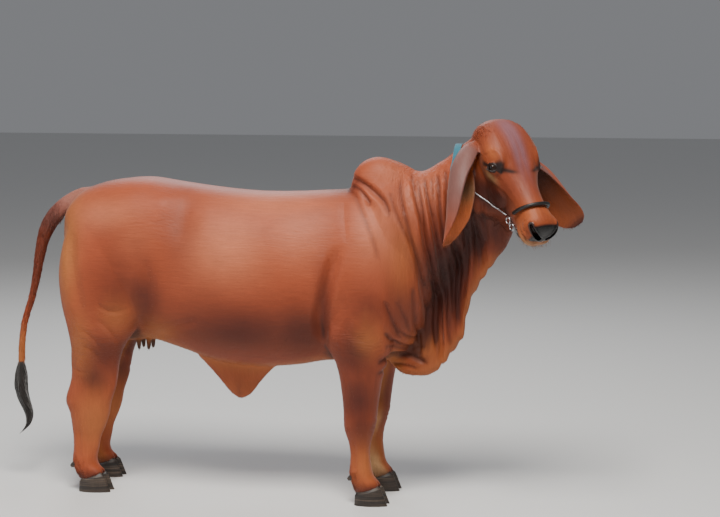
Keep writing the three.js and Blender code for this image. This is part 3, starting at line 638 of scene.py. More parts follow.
def build_flesh():
    """Everything of one flesh but the ear blades, as one closed even mesh."""
    parts = [
        loft("body", body_rings()),
        loft("hump", hump_rings()),
        loft("neck", neck_rings()),
        loft("navel_flap", flap_rings()),
        loft("tail", tube_rings(TAIL_PATH, lambda share: tail_sizes(share)["radius"], 110, 32)),
        loft("head", head_rings()),
    ]
    parts += [loft("leg", leg_rings(sizes, way)) for sizes in (fore_sizes, hind_sizes) for way in (-1, 1)]
    for way in (-1, 1):
        for name, (centre, radii) in HEAD_EGGS.items():
            parts.append(head_egg(name, sided(centre, way), radii))
    for x in TEATS_X:
        for y in (-TEAT_Y, TEAT_Y):
            path = [(x, y, 578), (x, y, 545), (x, y, 518)]
            parts.append(loft("teat", tube_rings(path, lambda share: 11 - 5 * share**2, 12, 20, (1, 0, 0))))
    parts += [loft("ear_root", ear_rings(side, 0, EAR_JOIN[1], 24)) for side in EAR_PATHS]
    flesh = join("skin", parts)
    apply_modifier(flesh, "REMESH", mode="VOXEL", voxel_size=VOXEL * MM, adaptivity=0)
    return flesh


# Modelling: swellings and strokes pushed into the flesh along its own normals

def along_line(points, line):
    """The distance of each point from a line, and the share of its length where it is nearest."""
    best = np.full(len(points), np.inf)
    share = np.zeros(len(points))
    lengths = np.linalg.norm(np.diff(line, axis=0), axis=1)
    passed = np.concatenate([[0], np.cumsum(lengths)])
    for k, length in enumerate(lengths):
        step = line[k + 1] - line[k]
        t = np.clip((points - line[k]) @ step / (step @ step), 0, 1)
        away = np.linalg.norm(points - line[k] - t[:, None] * step, axis=1)
        nearer = away < best
        best[nearer] = away[nearer]
        share[nearer] = (passed[k] + t[nearer] * length) / passed[-1]
    return best, share


PROFILES = {
    "groove": lambda r: -np.exp(-(r**2)),
    "ridge": lambda r: np.exp(-(r**2)),
    "fold": lambda r: -(1 - 1.1 * r**2) * np.exp(-0.85 * r**2),
}


class Clay:
    """The points of a mesh while it is being modelled, with the way out of each."""

    def __init__(self, target):
        self.target = target
        self.refresh()

    def refresh(self):
        self.points = vertices_of(self.target)
        self.normals = normals_of(self.target)

    def write(self):
        set_vertices(self.target, self.points)

    def push(self, chosen, amount):
        self.points[chosen] += self.normals[chosen] * amount[:, None]

    def near(self, flat, line, reach):
        low, high = line.min(0) - reach, line.max(0) + reach
        return np.all((flat > low) & (flat < high), axis=1)

    def stroke(self, flat, allowed, line, width, depth, form="fold", ends=0.18):
        """Pushes a profile along a line; flat holds the coordinates in which the line is given."""
        line = curve_points(line, 5 * len(line)) if len(line) > 2 else np.array(line, float)
        near = np.flatnonzero(self.near(flat, line, 3 * width) & (allowed > 0))
        away, share = along_line(flat[near], line)
        fade = rise(share, 0, ends) * rise(share, 1, 1 - ends)
        self.push(near, depth * fade * PROFILES[form](away / width) * allowed[near])

    def swell(self, flat, allowed, centre, radii, height):
        """Raises a soft swelling, or a hollow where the height is negative."""
        near = np.flatnonzero(self.near(flat, np.array([centre], float), 2.5 * max(radii)) & (allowed > 0))
        away = ((flat[near] - np.array(centre)) / np.array(radii)) ** 2
        self.push(near, height * np.exp(-away.sum(1)) * allowed[near])


def neck_place(points):
    """Where each point lies along the leaning sections of the neck."""
    return points[:, 0] + NECK_LEAN * (points[:, 2] - NECK_LEVEL)


def neck_middle(points):
    """How far her middle plane is shifted sideways where the neck turns to the head."""
    return neck_sizes(neck_place(points))["side"] * rise(points[:, 2], 650, 1100)


# Skin folds on each side, as places along her (x, z), with their width and depth
NECK_FOLDS = [
    (11, 4, [(351, 1135), (369, 1086), (408, 1009), (443, 943), (463, 885), (474, 820)]),
    (11, 6, [
        (387, 1184), (394, 1125), (414, 1054), (436, 976), (456, 896), (470, 820), (480, 741), (480, 640),
        (484, 545),
    ]),
    (10, 6, [(416, 1200), (431, 1163), (453, 1087), (477, 1010), (488, 942), (494, 900)]),
    (12, 10, [
        (441, 1192), (457, 1136), (477, 1054), (489, 965), (501, 905), (508, 823), (508, 713), (504, 645),
        (512, 580), (519, 505),
    ]),
    (12, 10, [
        (466, 1194), (482, 1136), (505, 1054), (521, 987), (532, 930), (540, 850), (545, 770), (549, 699),
        (557, 620), (562, 550),
    ]),
    (11, 8, [(520, 1200), (531, 1110), (541, 1031), (552, 960), (560, 900)]),
    (12, 9, [
        (548, 1225), (556, 1138), (560, 1043), (574, 975), (588, 915), (594, 848), (586, 739), (586, 629),
    ]),
    (8, 2.5, [(428, 1190), (445, 1130), (466, 1050), (478, 985)]),
    (8, 3, [(497, 1190), (508, 1120), (522, 1050), (533, 985)]),
    (10, 5, [(582, 1235), (592, 1150), (598, 1060), (604, 990)]),
    (12, 8, [
        (612, 1260), (620, 1180), (622, 1100), (622, 1010), (623, 941), (623, 877), (614, 792), (610, 730),
    ]),
    (10, 5, [(644, 1150), (650, 1060), (656, 980), (656, 900)]),
    (10, 5, [(684, 1110), (688, 1040), (694, 980), (694, 930)]),
]
PLEATS = [
    (9, 5, [(444, 800), (448, 720), (446, 640), (450, 560), (454, 500)]),
    (9, 5, [(524, 800), (528, 720), (530, 640), (536, 560)]),
    (8, 4, [(566, 900), (568, 820), (566, 740), (570, 660)]),
]
BRISKET_FOLDS = [
    (11, 8, [(350, 640), (372, 598), (400, 574), (436, 562), (468, 566)]),
    (12, 9, [(322, 520), (362, 540), (402, 538), (446, 520), (484, 500)]),
    (9, 5, [(352, 590), (386, 566), (420, 552), (452, 540)]),
    (8, 4, [(393, 636), (420, 610), (448, 600)]),
    (12, 6, [(350, 755), (366, 700), (384, 640), (396, 600)]),
    (9, 3, [(392, 751), (416, 684), (431, 614)]),
    (9, 5, [(318, 480), (360, 498), (408, 494), (448, 480)]),
]
HUMP_CREASES = [
    (15, 13, [(190, 1172), (222, 1166), (262, 1148), (300, 1122), (338, 1090), (366, 1040)]),
    (12, 7, [(198, 1144), (232, 1138), (262, 1112), (288, 1074)]),
    (12, 3, [(214, 1128), (240, 1086), (282, 1012), (312, 945), (330, 890)]),
    (11, 2, [(258, 1120), (300, 1050), (340, 985), (362, 930)]),
    (11, 2, [(180, 1110), (192, 1060), (204, 1000), (214, 940)]),
]
TRUNK_FOLDS = [
    (30, 17, [(178, 940), (164, 860), (142, 770), (127, 712), (120, 640), (136, 575)]),
    (13, 2.5, [(120, 760), (104, 700), (98, 640)]),
    (30, 6, [(-543, 894), (-512, 800), (-530, 700), (-580, 600)]),
    (28, 6, [(-820, 990), (-812, 880), (-790, 770), (-770, 660)]),
    (20, 5, [(-532, 580), (-460, 618), (-400, 640), (-322, 668)]),
    (16, 3, [(-560, 560), (-480, 590), (-410, 605)]),
    (18, 5, [(237, 690), (214, 640), (216, 590), (236, 536)]),
    (14, 3, [(190, 660), (246, 620), (300, 604)]),
    (12, 2, [(230, 560), (262, 540), (300, 546)]),
]
HOCK_WRINKLES = [
    (12, 4, [(-720, 720), (-661, 683), (-600, 690)]),
    (12, 4, [(-718, 660), (-671, 616), (-633, 560)]),
    (10, 3.5, [(-788, 619), (-732, 585), (-692, 532)]),
    (9, 3, [(-770, 560), (-720, 520), (-690, 470)]),
    (8, 2.5, [(-826, 470), (-790, 452), (-740, 455)]),
    (8, 2.5, [(-700, 430), (-690, 400), (-700, 372)]),
]
SKIN_FOLDS = (NECK_FOLDS, PLEATS, BRISKET_FOLDS, HUMP_CREASES)
# How much deeper the folds of the neck and the dewlap are drawn
NECK_DEPTH = 1.35
# How far the folds of her left side are shifted, so that the sides are not mirror images
LEFT_SHIFT = np.array([7.0, -5.0])
# Swellings and hollows on each side: place (x, z), radii and height
SIDE_FORMS = [
    ((-470, 1080), (46, 40), 10),
    ((-858, 1030), (34, 40), 7),
    ((-392, 1010), (52, 84), -13),
    ((-300, 880), (60, 170), 4),
    ((255, 940), (70, 150), 9),
    ((210, 800), (60, 70), 6),
    ((330, 840), (40, 90), -7),
    ((172, 612), (34, 34), 9),
    ((-560, 660), (50, 46), 8),
    ((-640, 880), (110, 130), 7),
    ((-250, 620), (120, 60), 5),
    ((40, 700), (130, 120), 4),
    ((-835, 400), (26, 24), 4),
    ((240, 440), (60, 70), 5),
]


def looseness(points):
    """Where the skin hangs loose in fine ripples: the neck, the dewlap, the brisket and the hocks."""
    x, _, z = points.T
    neck = rise(neck_place(points), 300, 400) * (1 - head_share(points))
    hock = 0.6 * bump(z, 560, 130) * rise(x, -500, -600) * rise(x, -900, -840)
    elbow = 0.6 * bump(z, 620, 80) * rise(x, 120, 180) * rise(x, 380, 320)
    return np.maximum(neck, np.maximum(hock, elbow))


def side_view(points, way):
    """Her places (x, z) as one side's folds are drawn on them."""
    return points[:, [0, 2]] + (LEFT_SHIFT if way > 0 else 0)


def model_trunk(clay):
    for way in (-1, 1):
        side = rise(way * (clay.points[:, 1] - neck_middle(clay.points)), 2, 16)
        outer = rise(way * clay.points[:, 1], 55, 90)
        flat = side_view(clay.points, way)
        for centre, radii, height in SIDE_FORMS:
            clay.swell(flat, outer, centre, radii, height)
        for folds in SKIN_FOLDS + (TRUNK_FOLDS, HOCK_WRINKLES):
            allowed = side if folds in SKIN_FOLDS else outer
            deeper = NECK_DEPTH if folds in (NECK_FOLDS, PLEATS) else 1
            for width, depth, line in folds:
                clay.stroke(flat, allowed, line, width, depth * deeper)


# Middle of each pair of cannon bones along her, and the middle and the cleft of each foot across her
CANNONS = ((fore_sizes, 250), (hind_sizes, -792))
CANNON_Y = 123
CLEFT_Y = 120
KNEE_WRINKLES_Z = (276, 292, 322)


def model_legs(clay):
    """Tendons, wrinkled knees and the cleft between the claws."""
    for way in (-1, 1):
        for sizes, bone in CANNONS:
            bone = bone + leg_shift(sizes, way, np.array([200.0]))[0]
            x, y, _ = clay.points.T
            allowed = np.where((np.abs(x - bone) < 150) & (way * y > 0), 1.0, 0.0)
            back = bone - 12
            for face in (-1, 1):
                beside = allowed * rise(face * (y - way * CANNON_Y), 2, 10)
                flat = clay.points[:, [0, 2]]
                clay.stroke(flat, beside, [(back, 120), (back - 2, 180), (back, 240)], 7, 5, "groove")
                tendon = [(back + 26, 130), (back + 26, 190), (back + 28, 230)]
                clay.stroke(flat, beside, tendon, 8, 2, "groove")
            front = clay.points[:, [1, 2]]
            ahead = allowed * rise(x, bone + 5, bone + 25)
            clay.stroke(front, ahead, [(way * CLEFT_Y, 40), (way * CLEFT_Y, 88)], 7, 9, "groove")
            if sizes is fore_sizes:
                for level in KNEE_WRINKLES_Z:
                    wrinkle = [(way * 90, level + 4), (way * 124, level - 3), (way * 156, level + 4)]
                    clay.stroke(front, ahead, wrinkle, 5, 2.2)
            behind = allowed * rise(x, bone - 8, bone - 28)
            clay.stroke(front, behind, [(way * CLEFT_Y, 60), (way * CLEFT_Y, 98)], 8, 7, "groove")


# Forms on each side of the face, in the head's own frame: swellings as place, radii and height,
# then strokes as width, height, form and line
FACE_SWELLINGS = [
    ((86, 92, -56), (40, 30, 34), -6),
    ((300, 70, -110), (46, 26, 30), -5),
    ((436, 0, -142), (24, 30, 18), 3),
]
FACE_STROKES = [
    (15, 3.5, "ridge", [(14, 48, -4), (70, 62, 6), (130, 64, 4), (180, 48, 2), (240, 36, -4)]),
    (9, 4.5, "ridge", [(118, 74, -6), (150, 86, -12), (186, 88, -22), (214, 78, -34)]),
    (9, 4, "ridge", [(196, 86, -78), (230, 76, -80), (270, 66, -78), (310, 60, -76)]),
    (7, 4, "groove", [(204, 90, -58), (222, 84, -56), (244, 76, -54)]),
    (8, 2.6, "fold", [(276, 40, -10), (300, 44, -16), (326, 52, -30)]),
    (6, 1.8, "fold", [(262, 30, -6), (290, 34, -10), (318, 40, -16)]),
    (4, 2.2, "ridge", [(226, 74, -92), (256, 68, -98), (290, 60, -108)]),
    (3.5, 1.6, "ridge", [(206, 84, -112), (236, 76, -120), (262, 68, -128)]),
    (14, 8, "groove", [(112, 66, -158), (150, 74, -168), (182, 66, -184)]),
    (4.5, 7, "groove", [
        (350, 60, -114), (380, 60, -108), (410, 62, -101), (440, 56, -98), (464, 20, -98), (468, 0, -98),
    ]),
    (5, 2.5, "groove", [(350, 64, -112), (346, 66, -122), (348, 60, -134)]),
    (8, 3, "ridge", [(385, 60, -92), (420, 62, -86), (448, 52, -84)]),
    (9, 4, "ridge", [(372, 52, -122), (410, 52, -116), (445, 44, -112), (462, 0, -110)]),
    (6, 2.5, "fold", [(392, 50, -34), (400, 58, -48), (398, 62, -66)]),
]
# Nostrils: a comma that opens forwards and curls up and out, and the way that it looks
NOSTRIL_LINE = np.array([
    (463, 15, -76), (461, 25, -68), (456, 35, -59), (448, 43, -51), (438, 48, -44), (428, 50, -39),
], float)
NOSTRIL_WAY = unit((0.74, 0.55, 0.4))
NOSTRIL_DEPTH = 26


def nostril_place(flat):
    """How far each point lies from the nostril as seen from in front of it, and the share along it."""
    line = curve_points(NOSTRIL_LINE, 20)
    along_view = [points - (points @ NOSTRIL_WAY)[:, None] * NOSTRIL_WAY for points in (flat, line)]
    return along_line(*along_view)


def model_head(clay):
    head = in_head(clay.points)
    ahead = np.where((head[:, 0] > -60) & (head[:, 0] < 500) & (head[:, 2] > -215), 1.0, 0.0)
    for way in (-1, 1):
        flat = sided(head, way)
        allowed = ahead * np.where(flat[:, 1] > -4, 1.0, 0.0)
        for centre, radii, height in FACE_SWELLINGS:
            clay.swell(flat, allowed, centre, radii, height)
        for width, height, form, line in FACE_STROKES:
            clay.stroke(flat, allowed, line, width, height, form, ends=0.2)
        # A raised wing round the nostril
        near = np.flatnonzero(clay.near(flat, NOSTRIL_LINE, 40) & (allowed > 0))
        away, _ = nostril_place(flat[near])
        clay.push(near, 4 * bump(away, 9, 6) * rise(head[near, 0], 412, 430))
    clay.write()
    clay.refresh()
    head = in_head(clay.points)
    for way in (-1, 1):
        flat = sided(head, way)
        near = np.flatnonzero(clay.near(flat, NOSTRIL_LINE, 40))
        near = near[clay.normals[near] @ head_way(*sided(NOSTRIL_WAY, way)) > 0.1]
        away, share = nostril_place(flat[near])
        wide = 8 - 12 * (share - 0.35) ** 2
        sunk = NOSTRIL_DEPTH * rise(away, wide + 1.5, wide - 4)
        inwards = head_way(-0.8, -0.3 * way, -0.3)
        clay.points[near] += inwards * sunk[:, None]


# Eyes: place in the head's own frame, the fissure's tilt, and the almond between the lids
EYE_AT = (174, 85, -47)
EYE_RADIUS = 19
# Radius on which the almond and the lids are measured, and that of the socket behind the eyeball
LID_RADIUS = 21
EYE_FLOOR = 13.0
FISSURE_TILT = math.radians(33)
FISSURE_BACK = 17
FISSURE_FRONT = 18.5


def eye_frame(way):
    """Centre of the eye, and its axes: along the fissure towards the nose, up, and out."""
    centre = from_head(sided(EYE_AT, way))
    out = head_way(0.1, way * 0.93, 0.34)
    slit = head_way(math.cos(FISSURE_TILT), 0, math.sin(FISSURE_TILT))
    along = unit(slit - out * (slit @ out))
    up = np.cross(out, along) * way
    return centre, np.column_stack([along, up, out])


def eye_distance(head):
    """How far each place of the head's frame lies from the nearer eye."""
    return np.min([np.linalg.norm(head - sided(EYE_AT, way), axis=1) for way in (-1, 1)], axis=0)


def almond(a):
    """Height of the upper and the lower lid's edge along the fissure."""
    share = np.clip((a + FISSURE_BACK) / (FISSURE_BACK + FISSURE_FRONT), 0, 1)
    round_off = np.sqrt(np.maximum(0, share * (1 - share))) * 2
    upper = 11 * round_off**0.85 + mix(0, -3, share)
    lower = -9.6 * round_off + mix(0, -3, share)
    return upper, lower


def model_eyes(clay):
    """Lids that wrap the eyeball, a dark slit between them and a soft socket round them."""
    for way in (-1, 1):
        centre, axes = eye_frame(way)
        local = (clay.points - centre) @ axes
        radius = np.linalg.norm(local, axis=1)
        near = np.flatnonzero((radius < 62) & (local[:, 2] > -6))
        a, b, c = local[near].T
        r = radius[near]
        long, tall = a * LID_RADIUS / r, b * LID_RADIUS / r
        upper, lower = almond(long)
        past = np.maximum(tall - upper, lower - tall)
        beyond = np.maximum(-FISSURE_BACK - long, long - FISSURE_FRONT)
        margin = np.maximum(past, beyond)
        facing = np.clip(c / r, 0, 1)
        lid = EYE_RADIUS + 1.2 + 3.2 * rise(margin, 0, 3) + 1.2 * rise(margin, 3, 9)
        crease = 2.2 * bump(tall, 14.5, 2.2) * rise(a, 24, 12) * rise(a, -24, -12)
        crease += 1.6 * bump(tall, -13.5, 2.2) * rise(a, 24, 12) * rise(a, -24, -12)
        inside = rise(margin, 0.6, -1.2)
        target = mix(lid - crease, EYE_FLOOR, inside)
        hold = rise(margin, 17, 5) * rise(facing, 0.15, 0.5)
        clay.points[near] = centre + (axes @ (local[near].T / r)).T * mix(r, target, hold)[:, None]


# Finishing the skin

def weigh(target, name, weights, levels=8):
    """A vertex group from an array of weights, in a few steps."""
    group = target.vertex_groups.new(name=name)
    steps = np.round(np.clip(weights, 0, 1) * levels).astype(int)
    for step in range(1, levels + 1):
        chosen = np.flatnonzero(steps == step)
        if len(chosen):
            group.add(chosen.tolist(), step / levels, "REPLACE")
    return name


def smooth(target, weights, rounds, factor=0.5):
    apply_modifier(
        target, "SMOOTH", factor=factor, iterations=rounds, vertex_group=weigh(target, "soft", weights)
    )
    target.vertex_groups.clear()


def refine(target, chosen_points):
    """Splits every face that has a chosen point, each edge in two."""
    mesh = target.data
    corners = read(mesh.loops, "vertex_index")
    starts = read(mesh.polygons, "loop_start")
    select_only(target)
    bpy.ops.object.mode_set(mode="EDIT")
    bpy.ops.mesh.select_mode(type="FACE")
    bpy.ops.mesh.select_all(action="DESELECT")
    bpy.ops.object.mode_set(mode="OBJECT")
    mesh.polygons.foreach_set("select", np.logical_or.reduceat(chosen_points[corners], starts))
    bpy.ops.object.mode_set(mode="EDIT")
    bpy.ops.mesh.subdivide(number_cuts=1)
    bpy.ops.mesh.select_all(action="DESELECT")
    bpy.ops.object.mode_set(mode="OBJECT")


def within(points, low, high, soft):
    """1 inside a box of her own millimetres, falling softly to 0 outside it."""
    inside = np.ones(len(points))
    for k in range(3):
        inside *= rise(points[:, k], low[k] - soft, low[k]) * rise(points[:, k], high[k] + soft, high[k])
    return inside


# Boxes where limbs, hump and neck flow into each other
SOFT_BOXES = [
    ((110, -300, 600), (460, -60, 1060)), ((110, 60, 600), (460, 300, 1060)),
    ((-880, -300, 620), (-480, -50, 1090)), ((-880, 50, 620), (-480, 300, 1090)),
    ((150, -140, 1040), (470, 140, 1215)), ((210, -200, 560), (470, 200, 1150)),
    ((-410, -90, 440), (-50, 90, 560)), ((-880, -60, 1020), (-790, 60, 1130)),
]
SKIN_TRIANGLES = 176000


def head_share(points):
    head = in_head(points)
    return rise(head[:, 0], -75, -35) * rise(head[:, 2], -235, -205) * rise(np.abs(head[:, 1]), 135, 115)


def finish_flesh(flesh):
    points = vertices_of(flesh)
    on_head = head_share(points)
    soft = np.max([within(points, low, high, 60) for low, high in SOFT_BOXES], axis=0)
    smooth(flesh, mix(1, 0.55, on_head) * mix(0.25, 1, rise(points[:, 2], 90, 170)), 7)
    smooth(flesh, soft * (1 - on_head), 34)
    points = vertices_of(flesh)
    refine(flesh, head_share(points) > 0.3)
    smooth(flesh, 0.7 * (head_share(vertices_of(flesh)) > 0.1), 4)
    clay = Clay(flesh)
    model_trunk(clay)
    model_legs(clay)
    clay.write()
    smooth(flesh, 0.6 * (1 - head_share(vertices_of(flesh))), 2)
    head = in_head(vertices_of(flesh))
    muzzle = (head[:, 0] > 405) & (head[:, 0] < 500) & (np.abs(head[:, 1]) < 90)
    refine(flesh, (eye_distance(head) < 52) | muzzle)
    smooth(flesh, 0.8 * (head_share(vertices_of(flesh)) > 0.1), 3)
    clay = Clay(flesh)
    model_head(clay)
    clay.write()
    refine(flesh, eye_distance(in_head(vertices_of(flesh))) < 31)
    clay = Clay(flesh)
    model_eyes(clay)
    clay.write()
    # Eyes and muzzle keep their fine mesh when the rest is thinned
    points = vertices_of(flesh)
    head, on_head = in_head(points), head_share(points)
    keep = np.maximum(rise(eye_distance(head), 60, 30), 0.55 * on_head)
    keep = np.maximum(keep, 0.8 * rise(head[:, 0], 395, 415) * on_head)
    flesh.data.calc_loop_triangles()
    share = SKIN_TRIANGLES / len(flesh.data.loop_triangles)
    apply_modifier(
        flesh, "DECIMATE", ratio=share, vertex_group=weigh(flesh, "coarse", 1 - keep),
        vertex_group_factor=0.004,
    )
    flesh.vertex_groups.clear()


def add_ears(flesh):
    """Joins the ear blades to their roots and smooths the joins."""
    for side in EAR_PATHS:
        blade = loft("ear_blade", ear_rings(side, EAR_JOIN[0], 1, 90, 34))
        apply_modifier(flesh, "BOOLEAN", operation="UNION", solver="MANIFOLD", object=blade)
        bpy.data.objects.remove(blade)
    points = vertices_of(flesh)
    near = np.zeros(len(points))
    for side in EAR_PATHS:
        at = ear_frame(side, np.array([mix(*EAR_JOIN, 0.75)]))[0][0]
        near = np.maximum(near, rise(np.linalg.norm(points - at, axis=1), 95, 50))
    smooth(flesh, near, 10)


class Surface:
    """The finished skin as something to lie things on."""

    def __init__(self, target):
        target.data.calc_loop_triangles()
        self.triangles = read(target.data.loop_triangles, "vertices", 3)
        self.points = vertices_of(target)
        self.normals = normals_of(target)
        self.tree = BVHTree.FromPolygons(self.points.tolist(), self.triangles.tolist())

    def find(self, inside, way, reach=125):
        """The outside of the skin as seen along a way from a point inside it."""
        start = Vector(inside + way * reach)
        hit = self.tree.ray_cast(start, Vector(-way), reach)
        return np.array(hit[0]) if hit[0] else np.array(inside, float)


skin = build_flesh()
finish_flesh(skin)
flesh_surface = Surface(skin)
add_ears(skin)


# Feet and eyes
CLAW_LEVELS = np.concatenate([[0, 0.6, 2], np.linspace(4, 62, 40), [66, 69]])
CLAW_TOP = 82


def build_claw(name, foot, way):
    """One claw with growth rings, from the sole up under the coronet's skin."""
    foot_x, foot_y, _ = foot
    turn = full_turn(56)
    c, s = np.cos(turn), np.sin(turn)
    rings = []
    for z in CLAW_LEVELS:
        share = z / CLAW_TOP
        toe, heel, half = mix(TOE_LENGTH, 30, share), mix(48, 44, share), mix(23.5, 21.5, share)
        growth = 0.22 * math.sin(z * 0.95) + 0.2 * math.sin(z * 0.41 + 1) - 1.6 * rise(z, 2.5, 0)
        tuck = 5 * rise(z, 46, 60) + 9 * rise(z, 60, 69)
        narrow = np.where(c > 0, 1 - 0.3 * c * c, 1)
        inside = np.where(s * way < 0, 0.82, 1)
        middle = foot_y + way * (mix(24, 22.5, share) - 3 * np.maximum(0, c))
        x = foot_x + (np.where(c > 0, toe, heel) + growth - tuck) * power(c, 0.9)
        y = middle + (half + growth - tuck) * narrow * inside * power(s, 0.85)
        level = z + CORONET_SLOPE * (x - foot_x) * rise(z, 0, 58)
        rings.append(np.stack([x, y, level], axis=-1))
    return loft(name, rings)


DEWCLAW_LEVEL = 104
# How far it stands ahead of the heel and beside the foot's middle, and its height
DEWCLAW_PATH = ((21, 17, 106), (7, 19, 98), (-4, 20, 91))


def build_dewclaw(name, foot, way):
    _, foot_y, sizes = foot
    s = sizes(DEWCLAW_LEVEL)
    heel = s["x"] + leg_shift(sizes, np.sign(foot_y), np.array([float(DEWCLAW_LEVEL)]))[0] - s["aft"]
    path = [(heel + ahead, foot_y + way * aside, z) for ahead, aside, z in DEWCLAW_PATH]
    return loft(name, tube_rings(path, lambda share: mix(12, 6, share**2) + 0.4 * np.sin(26 * share), 22, 28))


CORNEA_HEIGHT = 1.3


def build_eyeball(side, way):
    """A ball with a swollen cornea, placed in its socket."""
    bpy.ops.mesh.primitive_uv_sphere_add(segments=96, ring_count=64, radius=1, location=(0, 0, 0))
    ball = bpy.context.object
    ball.name = "eyeball_" + side
    shape = read(ball.data.vertices, "co", 3, np.float32).astype(float)
    centre, axes = eye_frame(way)
    swell = EYE_RADIUS + CORNEA_HEIGHT * rise(shape[:, 2], 0.72, 0.93)
    set_vertices(ball, centre + (axes @ (shape * swell[:, None]).T).T)
    # Each corner's place round the cornea, for the iris and the long pupil
    ball.data.uv_layers.remove(ball.data.uv_layers[0])
    put_places(ball, "iris", 0.5 + 0.5 * shape[:, :2])
    return ball


# Markings: her colours, with painted light and shade, as soft fields over her own places, shared by skin and
# coat

def srgb(red, green, blue):
    """A colour as the screen shows it, turned into the light it stands for."""
    c = np.array([red, green, blue]) / 255
    return np.where(c <= 0.04045, c / 12.92, ((c + 0.055) / 1.055) ** 2.4)


RED_COAT = srgb(150, 68, 38)
DARK_RED = srgb(68, 23, 15)
# Painted highlight colour, for the lit upper body and the ridges of folds
HIGHLIGHT_RED = srgb(186, 108, 76)
GOLDEN = srgb(172, 104, 52)
CREAM = srgb(206, 164, 116)
# Painted sheen: a greyish reflection on the topline and on the backs of the ears
PAINTED_GREY_SHEEN = srgb(140, 104, 100)
# Painted highlight colour of the sheen on the forehead
PAINTED_VIOLET_SHEEN = srgb(144, 104, 116)
ORANGE = srgb(186, 96, 48)
SHADED_GREY_GREEN = srgb(104, 92, 70)
BLACK_SKIN = srgb(15, 12, 12)

# Soft spots on each side, partly the coat's darker mahogany and partly painted shade on the lower body, the
# legs and the flank's hollow: place (x, z), radii, strength
DARK_AND_SHADE_SPOTS = [
    ((-400, 960), (70, 170), 0.35), ((-170, 630), (300, 110), 0.88), ((40, 630), (150, 120), 0.85),
    ((246, 560), (100, 130), 0.9), ((256, 390), (80, 130), 0.92), ((262, 300), (60, 90), 0.8),
    ((134, 680), (34, 200), 0.8), ((206, 1150), (30, 40), 0.8), ((-540, 720), (80, 130), 0.8),
    ((-690, 520), (90, 90), 0.75), ((-742, 430), (56, 70), 0.85), ((400, 740), (80, 150), 0.65),
    ((300, 720), (100, 90), 0.62), ((530, 880), (100, 190), 0.9), ((640, 1010), (80, 130), 0.9),
    ((-690, 800), (80, 90), 0.3), ((-860, 1030), (30, 60), 0.35), ((-640, 740), (100, 150), 0.6),
    ((420, 980), (60, 110), 0.45), ((470, 640), (60, 120), 0.4), ((260, 250), (60, 70), 0.5),
    ((-530, 860), (60, 120), 0.3),
]
# Painted shadow: almost black places of the throat and the dewlap, where they lie in shade
PAINTED_SHADOW_SPOTS = [
    ((560, 800), (56, 170), 0.92), ((640, 980), (64, 120), 0.92), ((590, 900), (54, 120), 0.92),
    ((500, 640), (36, 70), 0.5), ((430, 520), (70, 30), 0.6), ((700, 1070), (70, 80), 0.9),
    ((734, 980), (64, 100), 0.9),
]
# Painted light: lighter red where light falls on the upper barrel, the topline, the shoulder, the hip and the
# hump
PAINTED_LIGHT_SPOTS = [
    ((-220, 930), (150, 130), 0.85), ((-80, 1080), (220, 60), 0.6), ((320, 990), (90, 130), 0.65),
    ((-690, 1040), (150, 60), 0.7), ((30, 980), (120, 120), 0.5), ((470, 1120), (90, 90), 0.5),
    ((340, 1190), (80, 50), 0.45), ((-560, 960), (80, 90), 0.3),
]
GOLD_SPOTS = [
    ((-840, 900), (50, 190), 0.8), ((-640, 660), (60, 60), 0.35), ((-790, 560), (50, 130), 0.5),
    ((-740, 260), (90, 120), 0.55), ((284, 150), (60, 80), 0.5), ((410, 900), (50, 120), 0.3),
    ((-500, 600), (70, 50), 0.5), ((300, 610), (50, 60), 0.4), ((470, 560), (70, 60), 0.5),
]
# Soft spots on each side of the head, in its own frame, with painted sheen and shade among them: place,
# radii, colour, strength
HEAD_SPOTS = [
    # Painted highlight: a violet sheen on the forehead
    ((50, 0, 10), (70, 36, 40), PAINTED_VIOLET_SHEEN, 0.65),
    ((150, 12, 16), (120, 17, 40), PAINTED_VIOLET_SHEEN, 0.7),
    ((140, 98, -12), (40, 40, 20), ORANGE, 0.9),
    ((188, 88, -77), (26, 40, 13), CREAM * 1.1, 1.0),
    # Partly the darker tone of the cheek and the jaw, partly painted shade on them
    ((240, 70, -114), (64, 40, 32), DARK_RED * 0.55, 0.95),
    ((180, 80, -150), (90, 60, 42), DARK_RED * 0.55, 0.95),
    ((110, 96, -70), (50, 40, 50), ORANGE, 0.3),
    ((385, 40, -30), (50, 50, 46), ORANGE, 0.8),
    ((395, 60, -95), (60, 40, 34), ORANGE, 0.8),
    ((442, 28, -126), (34, 50, 20), CREAM, 0.85),
    ((452, 0, -106), (14, 50, 10), CREAM, 0.8),
    # Painted shade under the jaw
    ((300, 50, -160), (110, 50, 30), DARK_RED, 0.8),
    ((100, 40, -190), (130, 80, 40), DARK_RED, 0.9),
]


def spots(points, places):
    """How much of a set of soft spots lies on each point."""
    total = np.zeros(len(points))
    for centre, radii, strength in places:
        away = ((points - np.array(centre)) / np.array(radii)) ** 2
        total = np.maximum(total, strength * np.exp(-away.sum(1)))
    return total


def blend(colours, other, share):
    return colours + (other - colours) * np.clip(share, 0, 1)[:, None]


def cloud(points, size, seed):
    """Slow random variation between -1 and 1, with features of a given size."""
    return np.array([noise.noise(Vector(p)) for p in points / size + seed * 17.3])


